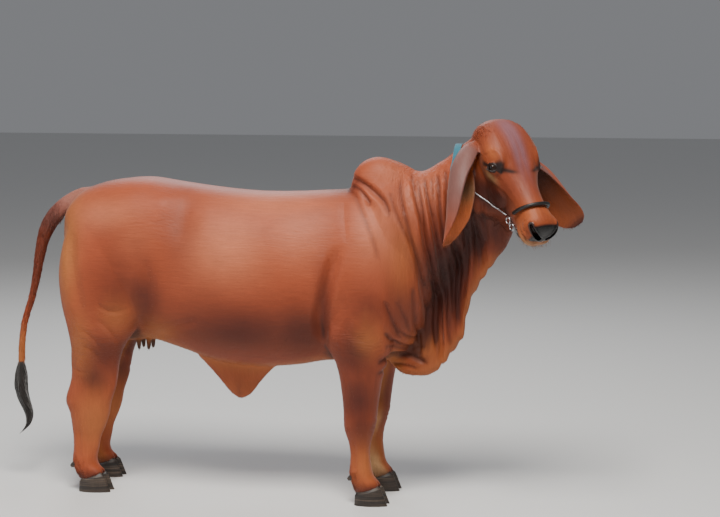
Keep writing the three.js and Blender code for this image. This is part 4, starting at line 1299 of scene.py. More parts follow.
def trunk_colours(points, body):
    """The colours of everything but head and ears, with painted light and shade; body is 0 on the head."""
    x, y, z = points.T
    flat = points[:, [0, 2]]
    colours = np.tile(RED_COAT, (len(points), 1))
    # Painted light on the upper body
    colours = blend(colours, HIGHLIGHT_RED, spots(flat, PAINTED_LIGHT_SPOTS) * body)
    side = np.maximum(rise(np.abs(y), 20, 60), rise(x, 400, 450))
    # Darker tone of the coat, partly painted shade low on the body and legs
    colours = blend(colours, DARK_RED, spots(flat, DARK_AND_SHADE_SPOTS) * side * body)
    colours = blend(colours, GOLDEN, spots(flat, GOLD_SPOTS) * body)
    # Painted shadow, almost black, on the throat and the dewlap
    colours = blend(colours, DARK_RED * 0.5, spots(flat, PAINTED_SHADOW_SPOTS) * side * body)
    # Painted greyish sheen, a reflection of the sky, along the topline behind the hump
    sizes = body_sizes(x)
    topline_sheen = rise(z, sizes["top"] - 60, sizes["top"] + 5) * rise(x, 190, 110) * rise(np.abs(y), 110, 30)
    colours = blend(colours, PAINTED_GREY_SHEEN, 0.5 * topline_sheen * body)
    # Golden line under the belly, brown navel flap with a darker middle; the flap's brown is darkened partly
    # as painted shade
    under = rise(np.abs(z - sizes["low"] - 6), 62, 14) * rise(np.abs(y), 120, 60)
    under *= rise(x, 250, 120) * rise(x, -760, -660)
    colours = blend(colours, GOLDEN, 0.45 * under)
    flap = rise(z, 470, 400) * rise(np.abs(y), 70, 40) * rise(x, -420, -380) * rise(x, -40, -80)
    # Partly painted shade: the flap is darkened from orange to brown
    colours = blend(colours, ORANGE * 0.6, 0.8 * flap)
    colours = blend(colours, DARK_RED, 0.4 * flap * bump(x, -228, 5) * rise(z, 440, 400))
    # Golden inner sides of the limbs, a pale left cannon bone painted as lit, dark coronets, tail and teats
    limbs = rise(x, -480, -540) + rise(x, 120, 160) * rise(x, 400, 360)
    inner = rise(np.abs(y), 98, 76) * rise(z, 640, 520) * limbs
    colours = blend(colours, GOLDEN, 0.7 * inner)
    # Painted light: the inner side of the left fore cannon is made pale cream where light falls on it
    colours = blend(colours, CREAM, 0.8 * inner * (rise(y, 0, 20) * rise(z, 320, 240) * rise(x, 0, 60)))
    colours = blend(colours, DARK_RED, 0.75 * rise(z, 92, 66))
    colours = blend(colours, DARK_RED, 0.62 * rise(x, -900, -950) * rise(z, 560, 800))
    teats = rise(z, 566, 545) * rise(np.abs(y), 60, 44) * rise(np.abs(x + 593), 46, 32)
    colours = blend(colours, BLACK_SKIN * 2.2, 0.85 * teats)
    # Golden hem of the dewlap: its golden tone, and painted light where its lower part stands in the light
    hem = rise(z - neck_sizes(neck_place(points))["hem"], 60, 0)
    return blend(colours, GOLDEN, 0.45 * hem * rise(x, 330, 420) * body * rise(z, 940, 860))


def ear_colours(ear, left):
    """Painted greyish sheen on the backs; inside, orange with painted shade as grey-green and dark depths;
    red tips; the left cup is painted dark with shade.
    """
    _, in_cup, length = ear.T
    red, orange = (np.tile(colour, (len(ear), 1)) for colour in (RED_COAT, ORANGE))
    # Painted sheen: a greyish reflection on the backs of the ears, faint on the left one
    back = blend(red, PAINTED_GREY_SHEEN * 0.52, 0.85 * rise(length, 0.98, 0.5) * np.where(left, 0.3, 1))
    # Painted shade inside the cups: grey-green in the middle of the right one, dark red in the depths towards
    # the root, and the whole left cup darker, almost black near its root
    cup = blend(orange, SHADED_GREY_GREEN, 0.75 * bump(length, 0.5, 0.14) * ~left)
    cup = blend(cup, DARK_RED, 0.9 * rise(length, 0.62, 0.2) * np.where(left, 1, 0.35))
    cup = blend(cup, DARK_RED, 0.45 * rise(length, 0.9, 1.0) + 0.55 * left)
    cup = blend(cup, BLACK_SKIN, 0.7 * rise(length, 0.75, 0.35) * left)
    return back + (cup - back) * in_cup[:, None]


def black_places(points, on_head, on_ear):
    """How much each point is of the nose pad, of a nostril, and of the lids and the streaks before them."""
    head = in_head(points)
    pad = rise(head[:, 0], 436, 446) * rise(head[:, 2], -99, -92) * rise(head[:, 2], -16, -27)
    pad *= rise(np.abs(head[:, 1]), 52, 44)
    nostril = np.zeros(len(points))
    lids = np.zeros(len(points))
    for way in (-1, 1):
        own = sided(head, way)
        near = np.flatnonzero((head[:, 0] > 415) & (on_head > 0.1) & (own[:, 1] > 0))
        away, _ = nostril_place(own[near])
        nostril[near] = np.maximum(nostril[near], rise(away, 14, 9))
        centre, axes = eye_frame(way)
        local = (points - centre) @ axes
        radius = np.linalg.norm(local, axis=1)
        near = np.flatnonzero((radius < 115) & (local[:, 2] > -70) & (on_ear < 0.5))
        a, b, _ = (local[near] * (LID_RADIUS / radius[near])[:, None]).T
        upper, lower = almond(a)
        past, beyond = np.maximum(b - upper, lower - b), np.maximum(-FISSURE_BACK - a, a - FISSURE_FRONT)
        corner = (past > 0) & (beyond > 0)
        margin = np.where(corner, np.hypot(past, beyond), np.maximum(past, beyond))
        a, b = local[near, 0], local[near, 1]
        width = mix(12, 6, rise(a, 14, 84))
        tear = np.exp(-(((b + 5 + 0.16 * (a - 18)) / width) ** 2)) * rise(a, 8, 16) * rise(a, 88, 64)
        wide = mix(7, 9, rise(a, -12, 14))
        rim = rise(margin, wide, wide - 4) * rise(radius[near], 60, 42) * rise(local[near, 2], -4, 4)
        lids[near] = np.maximum(lids[near], np.maximum(rim, 0.95 * tear))
    return pad, nostril, lids


HEAD_SHADE = 0.68


def markings_and_shading(points, cavity, ear):
    """Colour and wetness of skin and coat, with painted light and shade; cavity is 1 in a fold and -1 on a
    ridge, ear tells the ears.
    """
    x, y, z = points.T
    on_ear = ear[:, 0]
    on_head = head_share(points) * (1 - on_ear)
    colours = trunk_colours(points, 1 - on_head)
    head = in_head(points)
    mirrored = np.column_stack([head[:, 0], np.abs(head[:, 1]), head[:, 2]])
    for centre, radii, colour, strength in HEAD_SPOTS:
        away = ((mirrored - np.array(centre)) / np.array(radii)) ** 2
        colours = blend(colours, colour, strength * np.exp(-away.sum(1)) * on_head)
    colours *= mix(1, HEAD_SHADE, on_head)[:, None]
    colours = blend(colours, ear_colours(ear, y > 0), on_ear)
    pad, nostril, lids = black_places(points, on_head, on_ear)
    colours = blend(colours, BLACK_SKIN, np.maximum(pad, 0.95 * nostril))
    colours = blend(colours, BLACK_SKIN, 0.96 * lids)
    # Painted shade in the depths of the folds
    colours = blend(colours, DARK_RED * 0.6, np.clip(cavity, 0, 1) * 0.82 * (1 - pad))
    # Painted highlight on the ridges between folds, held back in the painted shadow of the throat
    ridge = np.clip(-cavity, 0, 1) * rise(x, 300, 420) * (1 - on_head) * (1 - on_ear)
    ridge *= 1 - 0.8 * spots(points[:, [0, 2]], PAINTED_SHADOW_SPOTS) * rise(z, 640, 760)
    colours = blend(colours, mix(GOLDEN, HIGHLIGHT_RED, rise(z, 860, 1040)[:, None]), 0.4 * ridge)
    variation = 1 + 0.07 * cloud(points, 130, 1) + 0.05 * cloud(points, 38, 2)
    return colours * variation[:, None], np.maximum(pad, 0.9 * nostril)


def ear_fields(points):
    """For each point, how much it is of an ear, how far inside the cup, and how far along from 0 to 1."""
    fields = np.zeros((len(points), 3))
    count, across, reach = 60, 28, 14
    i, j = np.meshgrid(np.arange(count - 1), np.arange(across - 1), indexing="ij")
    a = (i * across + j).ravel()
    quads = np.column_stack([a, a + 1, a + across + 1, a + across]).tolist()
    for side in EAR_PATHS:
        rings = ear_rings(side, EAR_JOIN[0], 1, count, across)
        outer = BVHTree.FromPolygons(rings[:, :across].reshape(-1, 3).tolist(), quads)
        inner = BVHTree.FromPolygons(rings[:, across:].reshape(-1, 3).tolist(), quads)
        middle = ear_frame(side, np.array([0.5]))[0][0]
        near = np.flatnonzero(np.linalg.norm(points - middle, axis=1) < 330)
        found = []
        for point in points[near]:
            back, cup = (tree.find_nearest(Vector(point), reach) for tree in (outer, inner))
            if back[0] is None or cup[0] is None:
                found.append((0, 0, 0))
                continue
            share = mix(EAR_JOIN[0], 1, back[2] // (across - 1) / (count - 1))
            found.append((min(back[3], cup[3]), back[3] - cup[3], share))
        away, depth, share = np.array(found).T
        on = rise(away, 9, 5) * rise(share, 0.09, 0.2)
        own = np.stack([on, rise(depth, -1, 1), share], axis=1)
        fields[near] = np.where((on > fields[near, 0])[:, None], own, fields[near])
    return fields


def hair_place(points, ear):
    """Places whose first number runs along the lie of the hair, for streaks in colour and bump."""
    x, y, z = points.T
    head = in_head(points)
    on_head = (head_share(points) * (1 - ear))[:, None]
    down = np.maximum(rise(z, 640, 470), rise(x, 300, 420))
    down = np.maximum(np.maximum(down, rise(x, -860, -930)), ear)[:, None]
    body = np.stack([x + 0.3 * z, y, z], axis=1)
    line = x + NECK_LEAN * (np.maximum(z, FOLD_KNEE_Z) - NECK_LEVEL)
    upright = np.stack([z, y, line + 40], axis=1)
    return mix(mix(body, upright, down), head + np.array([0, 700, 0]), on_head) * MM


def averaged(target, values, rounds):
    """The values of each point, levelled with its neighbours' round by round."""
    one, two = read(target.data.edges, "vertices", 2).T
    size = len(values)
    count = np.bincount(np.concatenate([one, two]), minlength=size)[:, None]
    for _ in range(rounds):
        total = np.stack([
            np.bincount(one, weights=values[two, k], minlength=size)
            + np.bincount(two, weights=values[one, k], minlength=size)
            for k in range(values.shape[1])
        ], axis=1)
        values = 0.3 * values + 0.7 * total / np.maximum(count, 1)
    return values


def cavities(target, rounds):
    """How far each point lies under the level of its neighbourhood, in millimetres."""
    points = vertices_of(target)
    depth = ((averaged(target, points, rounds) - points) * normals_of(target)).sum(1)
    return averaged(target, depth[:, None], 3)[:, 0]


SHADED_DEPTH = 3


def crease_shade(points):
    """Dark lines in the depth of the deeper folds on each side."""
    shade = np.zeros(len(points))
    for way in (-1, 1):
        aside = way * (points[:, 1] - neck_middle(points))
        flat = side_view(points, way)
        for _, depth, line in sum(SKIN_FOLDS, []):
            if depth < SHADED_DEPTH:
                continue
            line = curve_points(line, 5 * len(line))
            low, high = line.min(0) - 20, line.max(0) + 20
            near = np.flatnonzero(np.all((flat > low) & (flat < high), axis=1) & (aside > 8))
            away, share = along_line(flat[near], line)
            value = bump(away, 0, 6.5) * rise(share, 0, 0.06) * rise(share, 1, 0.92)
            shade[near] = np.maximum(shade[near], value * min(1, 0.35 + depth / 12))
    return shade


def signed_cavity(target):
    """From 1 in the depth of a fold to -1 on a ridge, fading out where the mesh grows finer at the head."""
    depth = averaged(target, cavities(target, 24)[:, None], 4)[:, 0]
    x, y, z = in_head(vertices_of(target)).T
    around = rise(x, -160, -80) * rise(z, -310, -240) * rise(np.abs(y), 180, 140)
    within_head = rise(x, -35, 10) * rise(z, -205, -165) * rise(np.abs(y), 115, 85)
    level = np.sign(depth) * rise(np.abs(depth), 0.7, 5.2)
    return level * (1 - around + 0.5 * within_head)


def put_attribute(target, name, values):
    """A number, a colour or a vector for every point of a mesh."""
    values = np.asarray(values, float)
    kind, key = "FLOAT_VECTOR", "vector"
    if values.ndim == 1:
        kind, key = "FLOAT", "value"
    elif name.endswith("colour"):
        kind, key = "FLOAT_COLOR", "color"
        values = np.column_stack([values, np.ones(len(values))])
    made = target.data.attributes.new(name, kind, "POINT")
    made.data.foreach_set(key, values.astype(np.float32).ravel())


# Materials

class Finish:
    """A material while its nodes are put together."""

    def __init__(self, name):
        self.material = bpy.data.materials.new(name)
        self.material.use_nodes = True
        self.tree = self.material.node_tree
        self.surface = self.tree.nodes["Principled BSDF"]

    def node(self, kind, inputs=(), **settings):
        made = self.tree.nodes.new("ShaderNode" + kind)
        for key, value in settings.items():
            setattr(made, key, value)
        for key, value in dict(inputs).items():
            self.feed(made.inputs[key], value)
        return made

    def feed(self, socket, value):
        if isinstance(value, bpy.types.NodeSocket):
            self.tree.links.new(value, socket)
        else:
            socket.default_value = value

    def set(self, **values):
        for key, value in values.items():
            self.feed(self.surface.inputs[key.replace("_", " ")], value)

    def attribute(self, name, output="Fac"):
        return self.node("Attribute", attribute_name=name).outputs[output]

    def place(self):
        return self.node("TexCoord").outputs["Object"]

    def noise(self, vector, scale, detail=3.0, roughness=0.55):
        inputs = {"Vector": vector, "Scale": scale, "Detail": detail, "Roughness": roughness}
        return self.node("TexNoise", inputs).outputs["Fac"]

    def cells(self, vector, scale):
        return self.node("TexVoronoi", {"Vector": vector, "Scale": scale}).outputs["Distance"]

    def ribs(self, vector, scale, distortion, way):
        inputs = {"Vector": vector, "Scale": scale, "Distortion": distortion}
        return self.node("TexWave", inputs, bands_direction=way).outputs["Fac"]

    def stretch(self, vector, scale):
        return self.node("Mapping", {"Vector": vector, "Scale": scale}).outputs["Vector"]

    def span(self, value, low, high, start=0.0, end=1.0):
        inputs = {"Value": value, "From Min": start, "From Max": end, "To Min": low, "To Max": high}
        return self.node("MapRange", inputs).outputs["Result"]

    def between(self, low, high, share):
        """A colour from low to high, each of which is a row of three numbers or a socket."""
        low, high = (c if isinstance(c, bpy.types.NodeSocket) else (*c, 1) for c in (low, high))
        return self.node("Mix", {6: low, 7: high, 0: share}, data_type="RGBA").outputs[2]

    def tint(self, colour, low, high, value):
        """A colour made darker and lighter by a value."""
        grey = self.span(value, low, high)
        vector = self.node("CombineXYZ", {"X": grey, "Y": grey, "Z": grey}).outputs["Vector"]
        return self.node("VectorMath", {0: colour, 1: vector}, operation="MULTIPLY").outputs["Vector"]

    def bump(self, height, distance, strength=1.0, under=None):
        inputs = {"Height": height, "Distance": distance, "Strength": strength}
        if under is not None:
            inputs["Normal"] = under
        return self.node("Bump", inputs).outputs["Normal"]


def coat_finish():
    """Sleek short hair: streaks along its lie, a soft sheen, and wet black skin where it is bare."""
    made = Finish("coat")
    place = made.attribute("hair_place", "Vector")
    bare = made.attribute("bare")
    fine = made.noise(made.stretch(place, (90, 900, 900)), 1.0, 2.0)
    streak = made.noise(made.stretch(place, (14, 130, 130)), 1.0, 3.0, 0.6)
    patches = made.noise(place, 9.0, 3.0)
    colour = made.attribute("coat_colour", "Color")
    colour = made.tint(colour, 0.80, 1.20, fine)
    colour = made.tint(colour, 0.84, 1.16, streak)
    colour = made.tint(colour, 0.88, 1.12, patches)
    pores = made.cells(place, 330.0)
    ripples = made.noise(made.stretch(place, (7, 62, 62)), 1.0, 2.0, 0.5)
    loose = made.span(made.attribute("loose"), 0.0004, 0.007)
    hair = made.bump(ripples, loose, 0.8)
    hair = made.bump(fine, 0.0007, 0.55, hair)
    hair = made.bump(streak, 0.0022, 0.5, hair)
    wet = made.bump(pores, 0.0012, 0.7)
    normal = made.node("Mix", {4: hair, 5: wet, 0: bare}, data_type="VECTOR").outputs[1]
    made.set(
        Base_Color=colour, Roughness=made.span(bare, 0.52, 0.24), Normal=normal,
        Sheen_Weight=made.span(bare, 0.1, 0.0), Sheen_Roughness=0.4, Sheen_Tint=(1.0, 0.86, 0.78, 1),
        Specular_IOR_Level=made.span(bare, 0.3, 0.55),
    )
    return made.material


def horn_finish():
    """Dark horn with growth rings, fine upright stripes and dust."""
    made = Finish("dark_horn")
    place = made.place()
    rings = made.noise(made.stretch(place, (4, 4, 260)), 1.0, 2.0)
    stripes = made.noise(made.stretch(place, (220, 220, 9)), 1.0, 2.0)
    dust = made.noise(place, 60.0, 4.0)
    colour = made.between(srgb(34, 28, 25), srgb(86, 72, 60), made.span(rings, 0, 1, 0.4, 0.75))
    colour = made.tint(colour, 0.7, 1.35, stripes)
    colour = made.tint(colour, 0.75, 1.3, dust)
    normal = made.bump(stripes, 0.0006, 0.5, made.bump(rings, 0.0011, 0.6))
    made.set(Base_Color=colour, Roughness=made.span(dust, 0.36, 0.6), Normal=normal)
    return made.material


def eye_finish():
    """A dark brown iris round a long black pupil, under a wet cornea."""
    made = Finish("wet_eye")
    place = made.node("UVMap", uv_map="iris").outputs["UV"]
    centred = made.node("VectorMath", {0: place, 1: (0.5, 0.5, 0)}, operation="SUBTRACT").outputs["Vector"]
    away = made.node("VectorMath", {0: centred}, operation="LENGTH").outputs["Value"]
    long = made.node("VectorMath", {0: centred, 1: (0.62, 1.35, 1)}, operation="MULTIPLY").outputs["Vector"]
    pupil = made.node("VectorMath", {0: long}, operation="LENGTH").outputs["Value"]
    colour = made.between(srgb(16, 9, 7), srgb(52, 28, 17), made.noise(place, 60.0, 4.0))
    colour = made.between(colour, srgb(50, 34, 28), made.span(away, 0, 1, 0.37, 0.42))
    colour = made.between(colour, srgb(6, 6, 10), made.span(pupil, 1, 0, 0.11, 0.135))
    made.set(Base_Color=colour, Roughness=0.25, Coat_Weight=0.2, Coat_Roughness=0.1, Specular_IOR_Level=0.2)
    return made.material


def hair_finish():
    """Long black hair: every strand a little lighter or darker than the next."""
    made = Finish("switch_hair")
    black = srgb(22, 18, 16)
    colour = made.between(black, black * 3.2, made.span(made.attribute("strand"), 0, 0.8))
    colour = made.tint(colour, 0.85, 1.35, made.attribute("along"))
    made.set(Base_Color=colour, Roughness=0.42, Sheen_Weight=0.2, Specular_IOR_Level=0.45)
    return made.material


def leather_finish():
    """Black leather with a fine grain, rubbed smooth in places."""
    made = Finish("black_leather")
    place = made.place()
    wear = made.noise(place, 90.0, 4.0)
    colour = made.tint(srgb(24, 22, 21), 0.7, 1.5, wear)
    grain = made.bump(made.cells(place, 520.0), 0.0006, 0.5)
    made.set(Base_Color=colour, Roughness=made.span(wear, 0.3, 0.55), Normal=grain)
    return made.material


def webbing_finish():
    """Woven teal webbing: ribs across the strap and threads along it, faded in places."""
    made = Finish("teal_webbing")
    place = made.node("UVMap", uv_map="strap").outputs["UV"]
    weft = made.ribs(place, 110.0, 0.4, "Y")
    warp = made.ribs(place, 190.0, 0.2, "X")
    weave = made.node("Math", {0: weft, 1: warp}, operation="MULTIPLY").outputs["Value"]
    colour = made.between(srgb(22, 88, 108), srgb(58, 146, 164), weave)
    colour = made.tint(colour, 0.8, 1.2, made.noise(place, 40.0, 3.0))
    made.set(Base_Color=colour, Roughness=0.75, Sheen_Weight=0.3, Normal=made.bump(weave, 0.0007, 0.8))
    return made.material


def steel_finish():
    """Bright steel with fine scratches."""
    made = Finish("steel")
    scratches = made.noise(made.stretch(made.place(), (60, 60, 600)), 1.0, 3.0)
    made.set(Base_Color=(*srgb(190, 192, 196), 1), Metallic=1.0, Roughness=made.span(scratches, 0.16, 0.4))
    return made.material


MATERIALS = {
    "coat": coat_finish(),
    "horn": horn_finish(),
    "eye": eye_finish(),
    "switch_hair": hair_finish(),
    "black_leather": leather_finish(),
    "teal_webbing": webbing_finish(),
    "steel": steel_finish(),
}


def dress(piece, slot, *nodes, angle=None):
    """Gives a finished piece the material of its slot and its body, and hides the nodes that it stands for.
    """
    piece.data.materials.clear()
    piece.data.materials.append(MATERIALS[slot])
    select_only(piece)
    if angle is None:
        bpy.ops.object.shade_smooth()
    else:
        bpy.ops.object.shade_smooth_by_angle(angle=math.radians(angle))
    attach(piece, "root")
    if nodes:
        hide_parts(*nodes)


skin_points = vertices_of(skin)
skin_ear = ear_fields(skin_points)
off_ear = 1 - skin_ear[:, 0]
# How deep each point lies in a fold or stands on a ridge, for painted shade and painted highlight
skin_cavity = signed_cavity(skin) * off_ear
skin_crease = crease_shade(skin_points) * off_ear * (1 - head_share(skin_points))
skin_cavity = np.where(skin_crease > 0.3, np.maximum(skin_cavity, 0), skin_cavity)
skin_cavity = np.maximum(skin_cavity, 0.8 * skin_crease)
skin_colour, skin_bare = markings_and_shading(skin_points, skin_cavity, skin_ear)
put_attribute(skin, "coat_colour", skin_colour)
put_attribute(skin, "bare", skin_bare)
put_attribute(skin, "loose", looseness(skin_points) * off_ear)
put_attribute(skin, "hair_place", hair_place(skin_points, skin_ear[:, 0]))
dress(
    skin, "coat", "head", "nose_pad", "neck", "dewlap", "hump", "torso", "tail", "ear_right", "ear_left",
    "foreleg_right", "foreleg_left", "hindleg_right", "hindleg_left",
)
for leg, foot in FEET.items():
    way = int(np.sign(foot[1]))
    for side, out in (("outer", way), ("inner", -way)):
        for kind, build in (("claw", build_claw), ("dewclaw", build_dewclaw)):
            node = kind + "_" + leg + "_" + side
            dress(build("horn_" + node, foot, out), "horn", node, angle=40)
for side, way in SIDES.items():
    dress(build_eyeball(side, way), "eye", "eye_" + side)


# Halter: bands and cords draped over the finished skin

def drape(surface, guides, section, count, lift):
    """Rings of a band against the skin: each guide is a point inside the flesh and a way out of it."""
    insides = between_guides([g[0] for g in guides], count)
    ways = unit(between_guides([unit(g[1]) for g in guides], count))
    first = np.array([surface.find(p, w) for p, w in zip(insides, ways)])
    along = unit(np.gradient(first, axis=0))
    out = unit(ways - along * (ways * along).sum(1)[:, None])
    across = np.cross(along, out)
    half = max(abs(wide) for wide, _ in section)
    reach = np.array([
        max((surface.find(p + a * wide, o) - p - a * wide) @ o for wide in (-half, 0, half))
        for p, a, o in zip(insides, across, out)
    ])
    for _ in range(6):
        reach[1:-1] = np.maximum(reach[1:-1], 0.5 * (reach[:-2] + reach[2:]))
    at = insides + out * (reach + lift)[:, None]
    wide, high = np.array(section, float).T
    return at[:, None] + across[:, None] * wide[None, :, None] + out[:, None] * high[None, :, None]


CORD_RADIUS = 2.5
CORD_LIFT = 3
CORD_DEPTH = 40


def clear_route(surface, guides, count):
    """A line through guides on the skin, pushed out wherever it would dip under it."""
    line = curve_points([surface.find(np.array(p, float), unit(w)) for p, w in guides], count)
    ways = unit(between_guides([unit(w) for _, w in guides], count))
    insides = line - ways * CORD_DEPTH
    reach = np.array([max(CORD_DEPTH, (surface.find(p, w) - p) @ w) for p, w in zip(insides, ways)])
    return insides + ways * (reach + CORD_RADIUS + CORD_LIFT)[:, None]


def put_strap_places(target, rings):
    """A UV map in metres: across the strap, and along it."""
    length = length_along(rings.mean(axis=1))
    width = np.linalg.norm(rings[0] - rings[0, 0], axis=1)
    table = np.stack(np.broadcast_arrays(width, length[:, None]), axis=-1)
    table = np.concatenate([table.reshape(-1, 2), [[0, 0], [0, length[-1]]]]) * MM
    put_places(target, "strap", table)


def band(name, surface, guides, section, count, lift):
    rings = drape(surface, guides, section, count, lift)
    made = loft(name, rings)
    put_strap_places(made, rings)
    return made


def flat_section(width, thickness, edge=0.8):
    """A strap's section with rounded edges and a faintly wavy face."""
    half, low, high = width / 2, thickness * 0.3, thickness * 0.7
    face = [(w, thickness + 0.15 * math.sin(9 * w)) for w in np.linspace(-half + edge, half - edge, 9)]
    back = [(w, 0) for w in np.linspace(half - edge, -half + edge, 5)]
    return face + [(half, high), (half, low)] + back + [(-half, low), (-half, high)]


def round_section(radius, count):
    return [(radius * math.cos(t), radius * (1 + math.sin(t))) for t in -full_turn(count)]


def degrees_fan(centre, turns, way_at):
    """Guides from one point inside the flesh, with a way out of it for each angle."""
    return [(centre, way_at(math.radians(turn))) for turn in turns]


NOSEBAND_TILT = 0.32
RING_RADIUS = 12
RING_WIRE = 2.6


def build_halter(surface):
    """Crown strap, noseband, chin strap, and a cheek cord and two rings on each side."""
    crown = degrees_fan(
        (590, -18, 1190), (-104, -80, -55, -30, 0, 30, 55, 80, 104),
        lambda t: np.array([-0.2 * (1 - math.cos(t)), math.sin(t), math.cos(t)]),
    )
    strap = band("crown_strap", surface, crown, flat_section(24, 3), 150, 1.2)
    dress(strap, "teal_webbing", "halter_crown_strap", angle=50)
    nose = degrees_fan(
        from_head((342, 0, -82)), np.linspace(-112, 112, 9),
        lambda t: head_way(NOSEBAND_TILT * math.cos(t), math.sin(t), math.cos(t)),
    )
    noseband = band("noseband", surface, nose, round_section(6.5, 20), 140, 0.8)
    dress(noseband, "black_leather", "halter_noseband")
    chin = degrees_fan(
        from_head((388, 0, -105)), (-64, -40, -14, 14, 40, 64),
        lambda t: head_way(0, math.sin(t), -math.cos(t)),
    )
    dress(
        band("chin_strap", surface, chin, flat_section(20, 4), 90, 1.2),
        "black_leather", "halter_chin_strap", angle=50,
    )
    for side, way in SIDES.items():
        for level, x in (("upper", 322), ("lower", 351)):
            build_ring("halter_ring_" + level + "_" + side, surface, x, -160, way)
        guides = [((592, -18, 1156), (0, way, 0)), ((640, -28, 1146), (0, way, 0))]
        for x, z in ((180, -166), (240, -164), (300, -158)):
            guides.append((from_head((x, way * 10, z)), head_way(0, way, 0)))
        rings = tube_rings(
            clear_route(surface, guides, 13), lambda share: CORD_RADIUS + 0.35 * np.sin(330 * share), 300, 12,
        )
        dress(loft("cheek_cord_" + side, rings), "steel", "halter_cheek_cord_" + side)


def build_ring(node, surface, x, z, way):
    """A steel ring that lies flat against the cheek."""
    inside = from_head((x, way * 20, z))
    out = head_way(0, way, 0)
    starts = [
        from_head((x + RING_RADIUS * math.cos(t), way * 20, z + RING_RADIUS * math.sin(t)))
        for t in full_turn(12)
    ]
    reach = max((surface.find(start, out) - start) @ out for start in starts)
    centre = inside + out * (reach + RING_WIRE + 1)
    axes = np.column_stack([head_way(1, 0, 0), head_way(0, 0, 1), head_way(0, -1, 0)])
    turns = full_turn(48)
    middle = centre + (np.stack([np.cos(turns), np.sin(turns), 0 * turns], axis=1) * RING_RADIUS) @ axes.T
    spokes = unit(middle - centre)
    around = full_turn(16)[None, :, None]
    rings = middle[:, None] + RING_WIRE * (spokes[:, None] * np.cos(around) + axes[:, 2] * np.sin(around))
    count, section = rings.shape[:2]
    i, j = np.meshgrid(np.arange(count), np.arange(section), indexing="ij")
    i, j, k, m = i.ravel(), j.ravel(), (i.ravel() + 1) % count, (j.ravel() + 1) % section
    faces = np.column_stack([i * section + j, k * section + j, k * section + m, i * section + m])
    ring = mesh_object("steel_" + node, rings.reshape(-1, 3), faces.tolist())
    face_out(ring)
    dress(ring, "steel", node)


build_halter(flesh_surface)


# Coat: thin tapered tufts of three sides that lie along the skin
COAT_SEED = 7
# Side of each tuft's patch on the map that the colours are baked on
BAKE_PATCH = 0.003
rng = np.random.default_rng(COAT_SEED)


def triangle_object(name, points, triangles):
    mesh = bpy.data.meshes.new(name)
    mesh.vertices.add(len(points))
    mesh.vertices.foreach_set("co", to_row(points).astype(np.float32).ravel())
    mesh.loops.add(triangles.size)
    mesh.loops.foreach_set("vertex_index", triangles.astype(np.int32).ravel())
    mesh.polygons.add(len(triangles))
    mesh.polygons.foreach_set("loop_start", np.arange(0, triangles.size, 3, dtype=np.int32))
    mesh.update(calc_edges=True)
    made = bpy.data.objects.new(name, mesh)
    bpy.context.scene.collection.objects.link(made)
    return made


def turn_share(across, up):
    """The angle of each place round a middle, from 0 to 1."""
    return np.arctan2(across, up) / (2 * math.pi) + 0.5


# Middles of the legs along her, with their sides, as they are laid flat
FLAT_LEGS = ((255, -1), (255, 1), (-770, -1), (-800, 1))


def unwrap(points):
    """Her skin laid flat: trunk, head, legs, ears and tail on sheets side by side, from 0 to 1."""
    x, y, z = points.T
    head = in_head(points)
    on_head = head_share(points) > 0.5
    places = np.column_stack([0.01 + 0.56 * (x + 1000) / 1800, 0.01 + 0.46 * turn_share(y, z - 850)])

    def lay(chosen, first, second):
        places[chosen] = np.column_stack([first, second])[chosen]

    head_turn = turn_share(head[:, 1], head[:, 2] + 80)
    lay(on_head, 0.62 + 0.34 * (head[:, 0] + 60) / 560, 0.01 + 0.3 * head_turn)
    for index, (middle, way) in enumerate(FLAT_LEGS):
        leg = (z < 600) & (way * y > 40) & (np.abs(x - middle) < 220)
        leg_turn = turn_share(y - way * 122, x - middle)
        lay(leg, 0.01 + 0.3 * z / 600, 0.5 + 0.11 * index + 0.1 * leg_turn)
    tail_turn = turn_share(y + 6, x + 0.55 * (z - 900) + 1000)
    lay((x < -905) & ~on_head, 0.34 + 0.3 * z / 1100, 0.5 + 0.1 * tail_turn)
    for index, side in enumerate(EAR_PATHS):
        at, along, out, wide = (row[0] for row in ear_frame(side, np.array([0.5])))
        own = points - at
        long, deep, broad = own @ along, own @ out, own @ wide
        ear = (np.linalg.norm(own, axis=1) < 260) & ~on_head
        ear &= (np.abs(long) < 230) & (np.abs(broad) < 120) & (np.abs(deep) < 90)
        lay(ear, 0.36 + 0.25 * index + 0.22 * (long + 230) / 460, 0.64 + 0.3 * (broad + 120) / 240)
    return np.clip(places, 0.004, 0.99)


def put_bake_places(target, roots, along, across):
    """The map for baking: a small patch for each tuft, where its root lies on the skin laid flat."""
    patch = BAKE_PATCH * np.stack([along, across], axis=1)[None] - BAKE_PATCH / 2
    put_places(target, "OFBake", (unwrap(roots)[:, None] + patch).reshape(-1, 2))


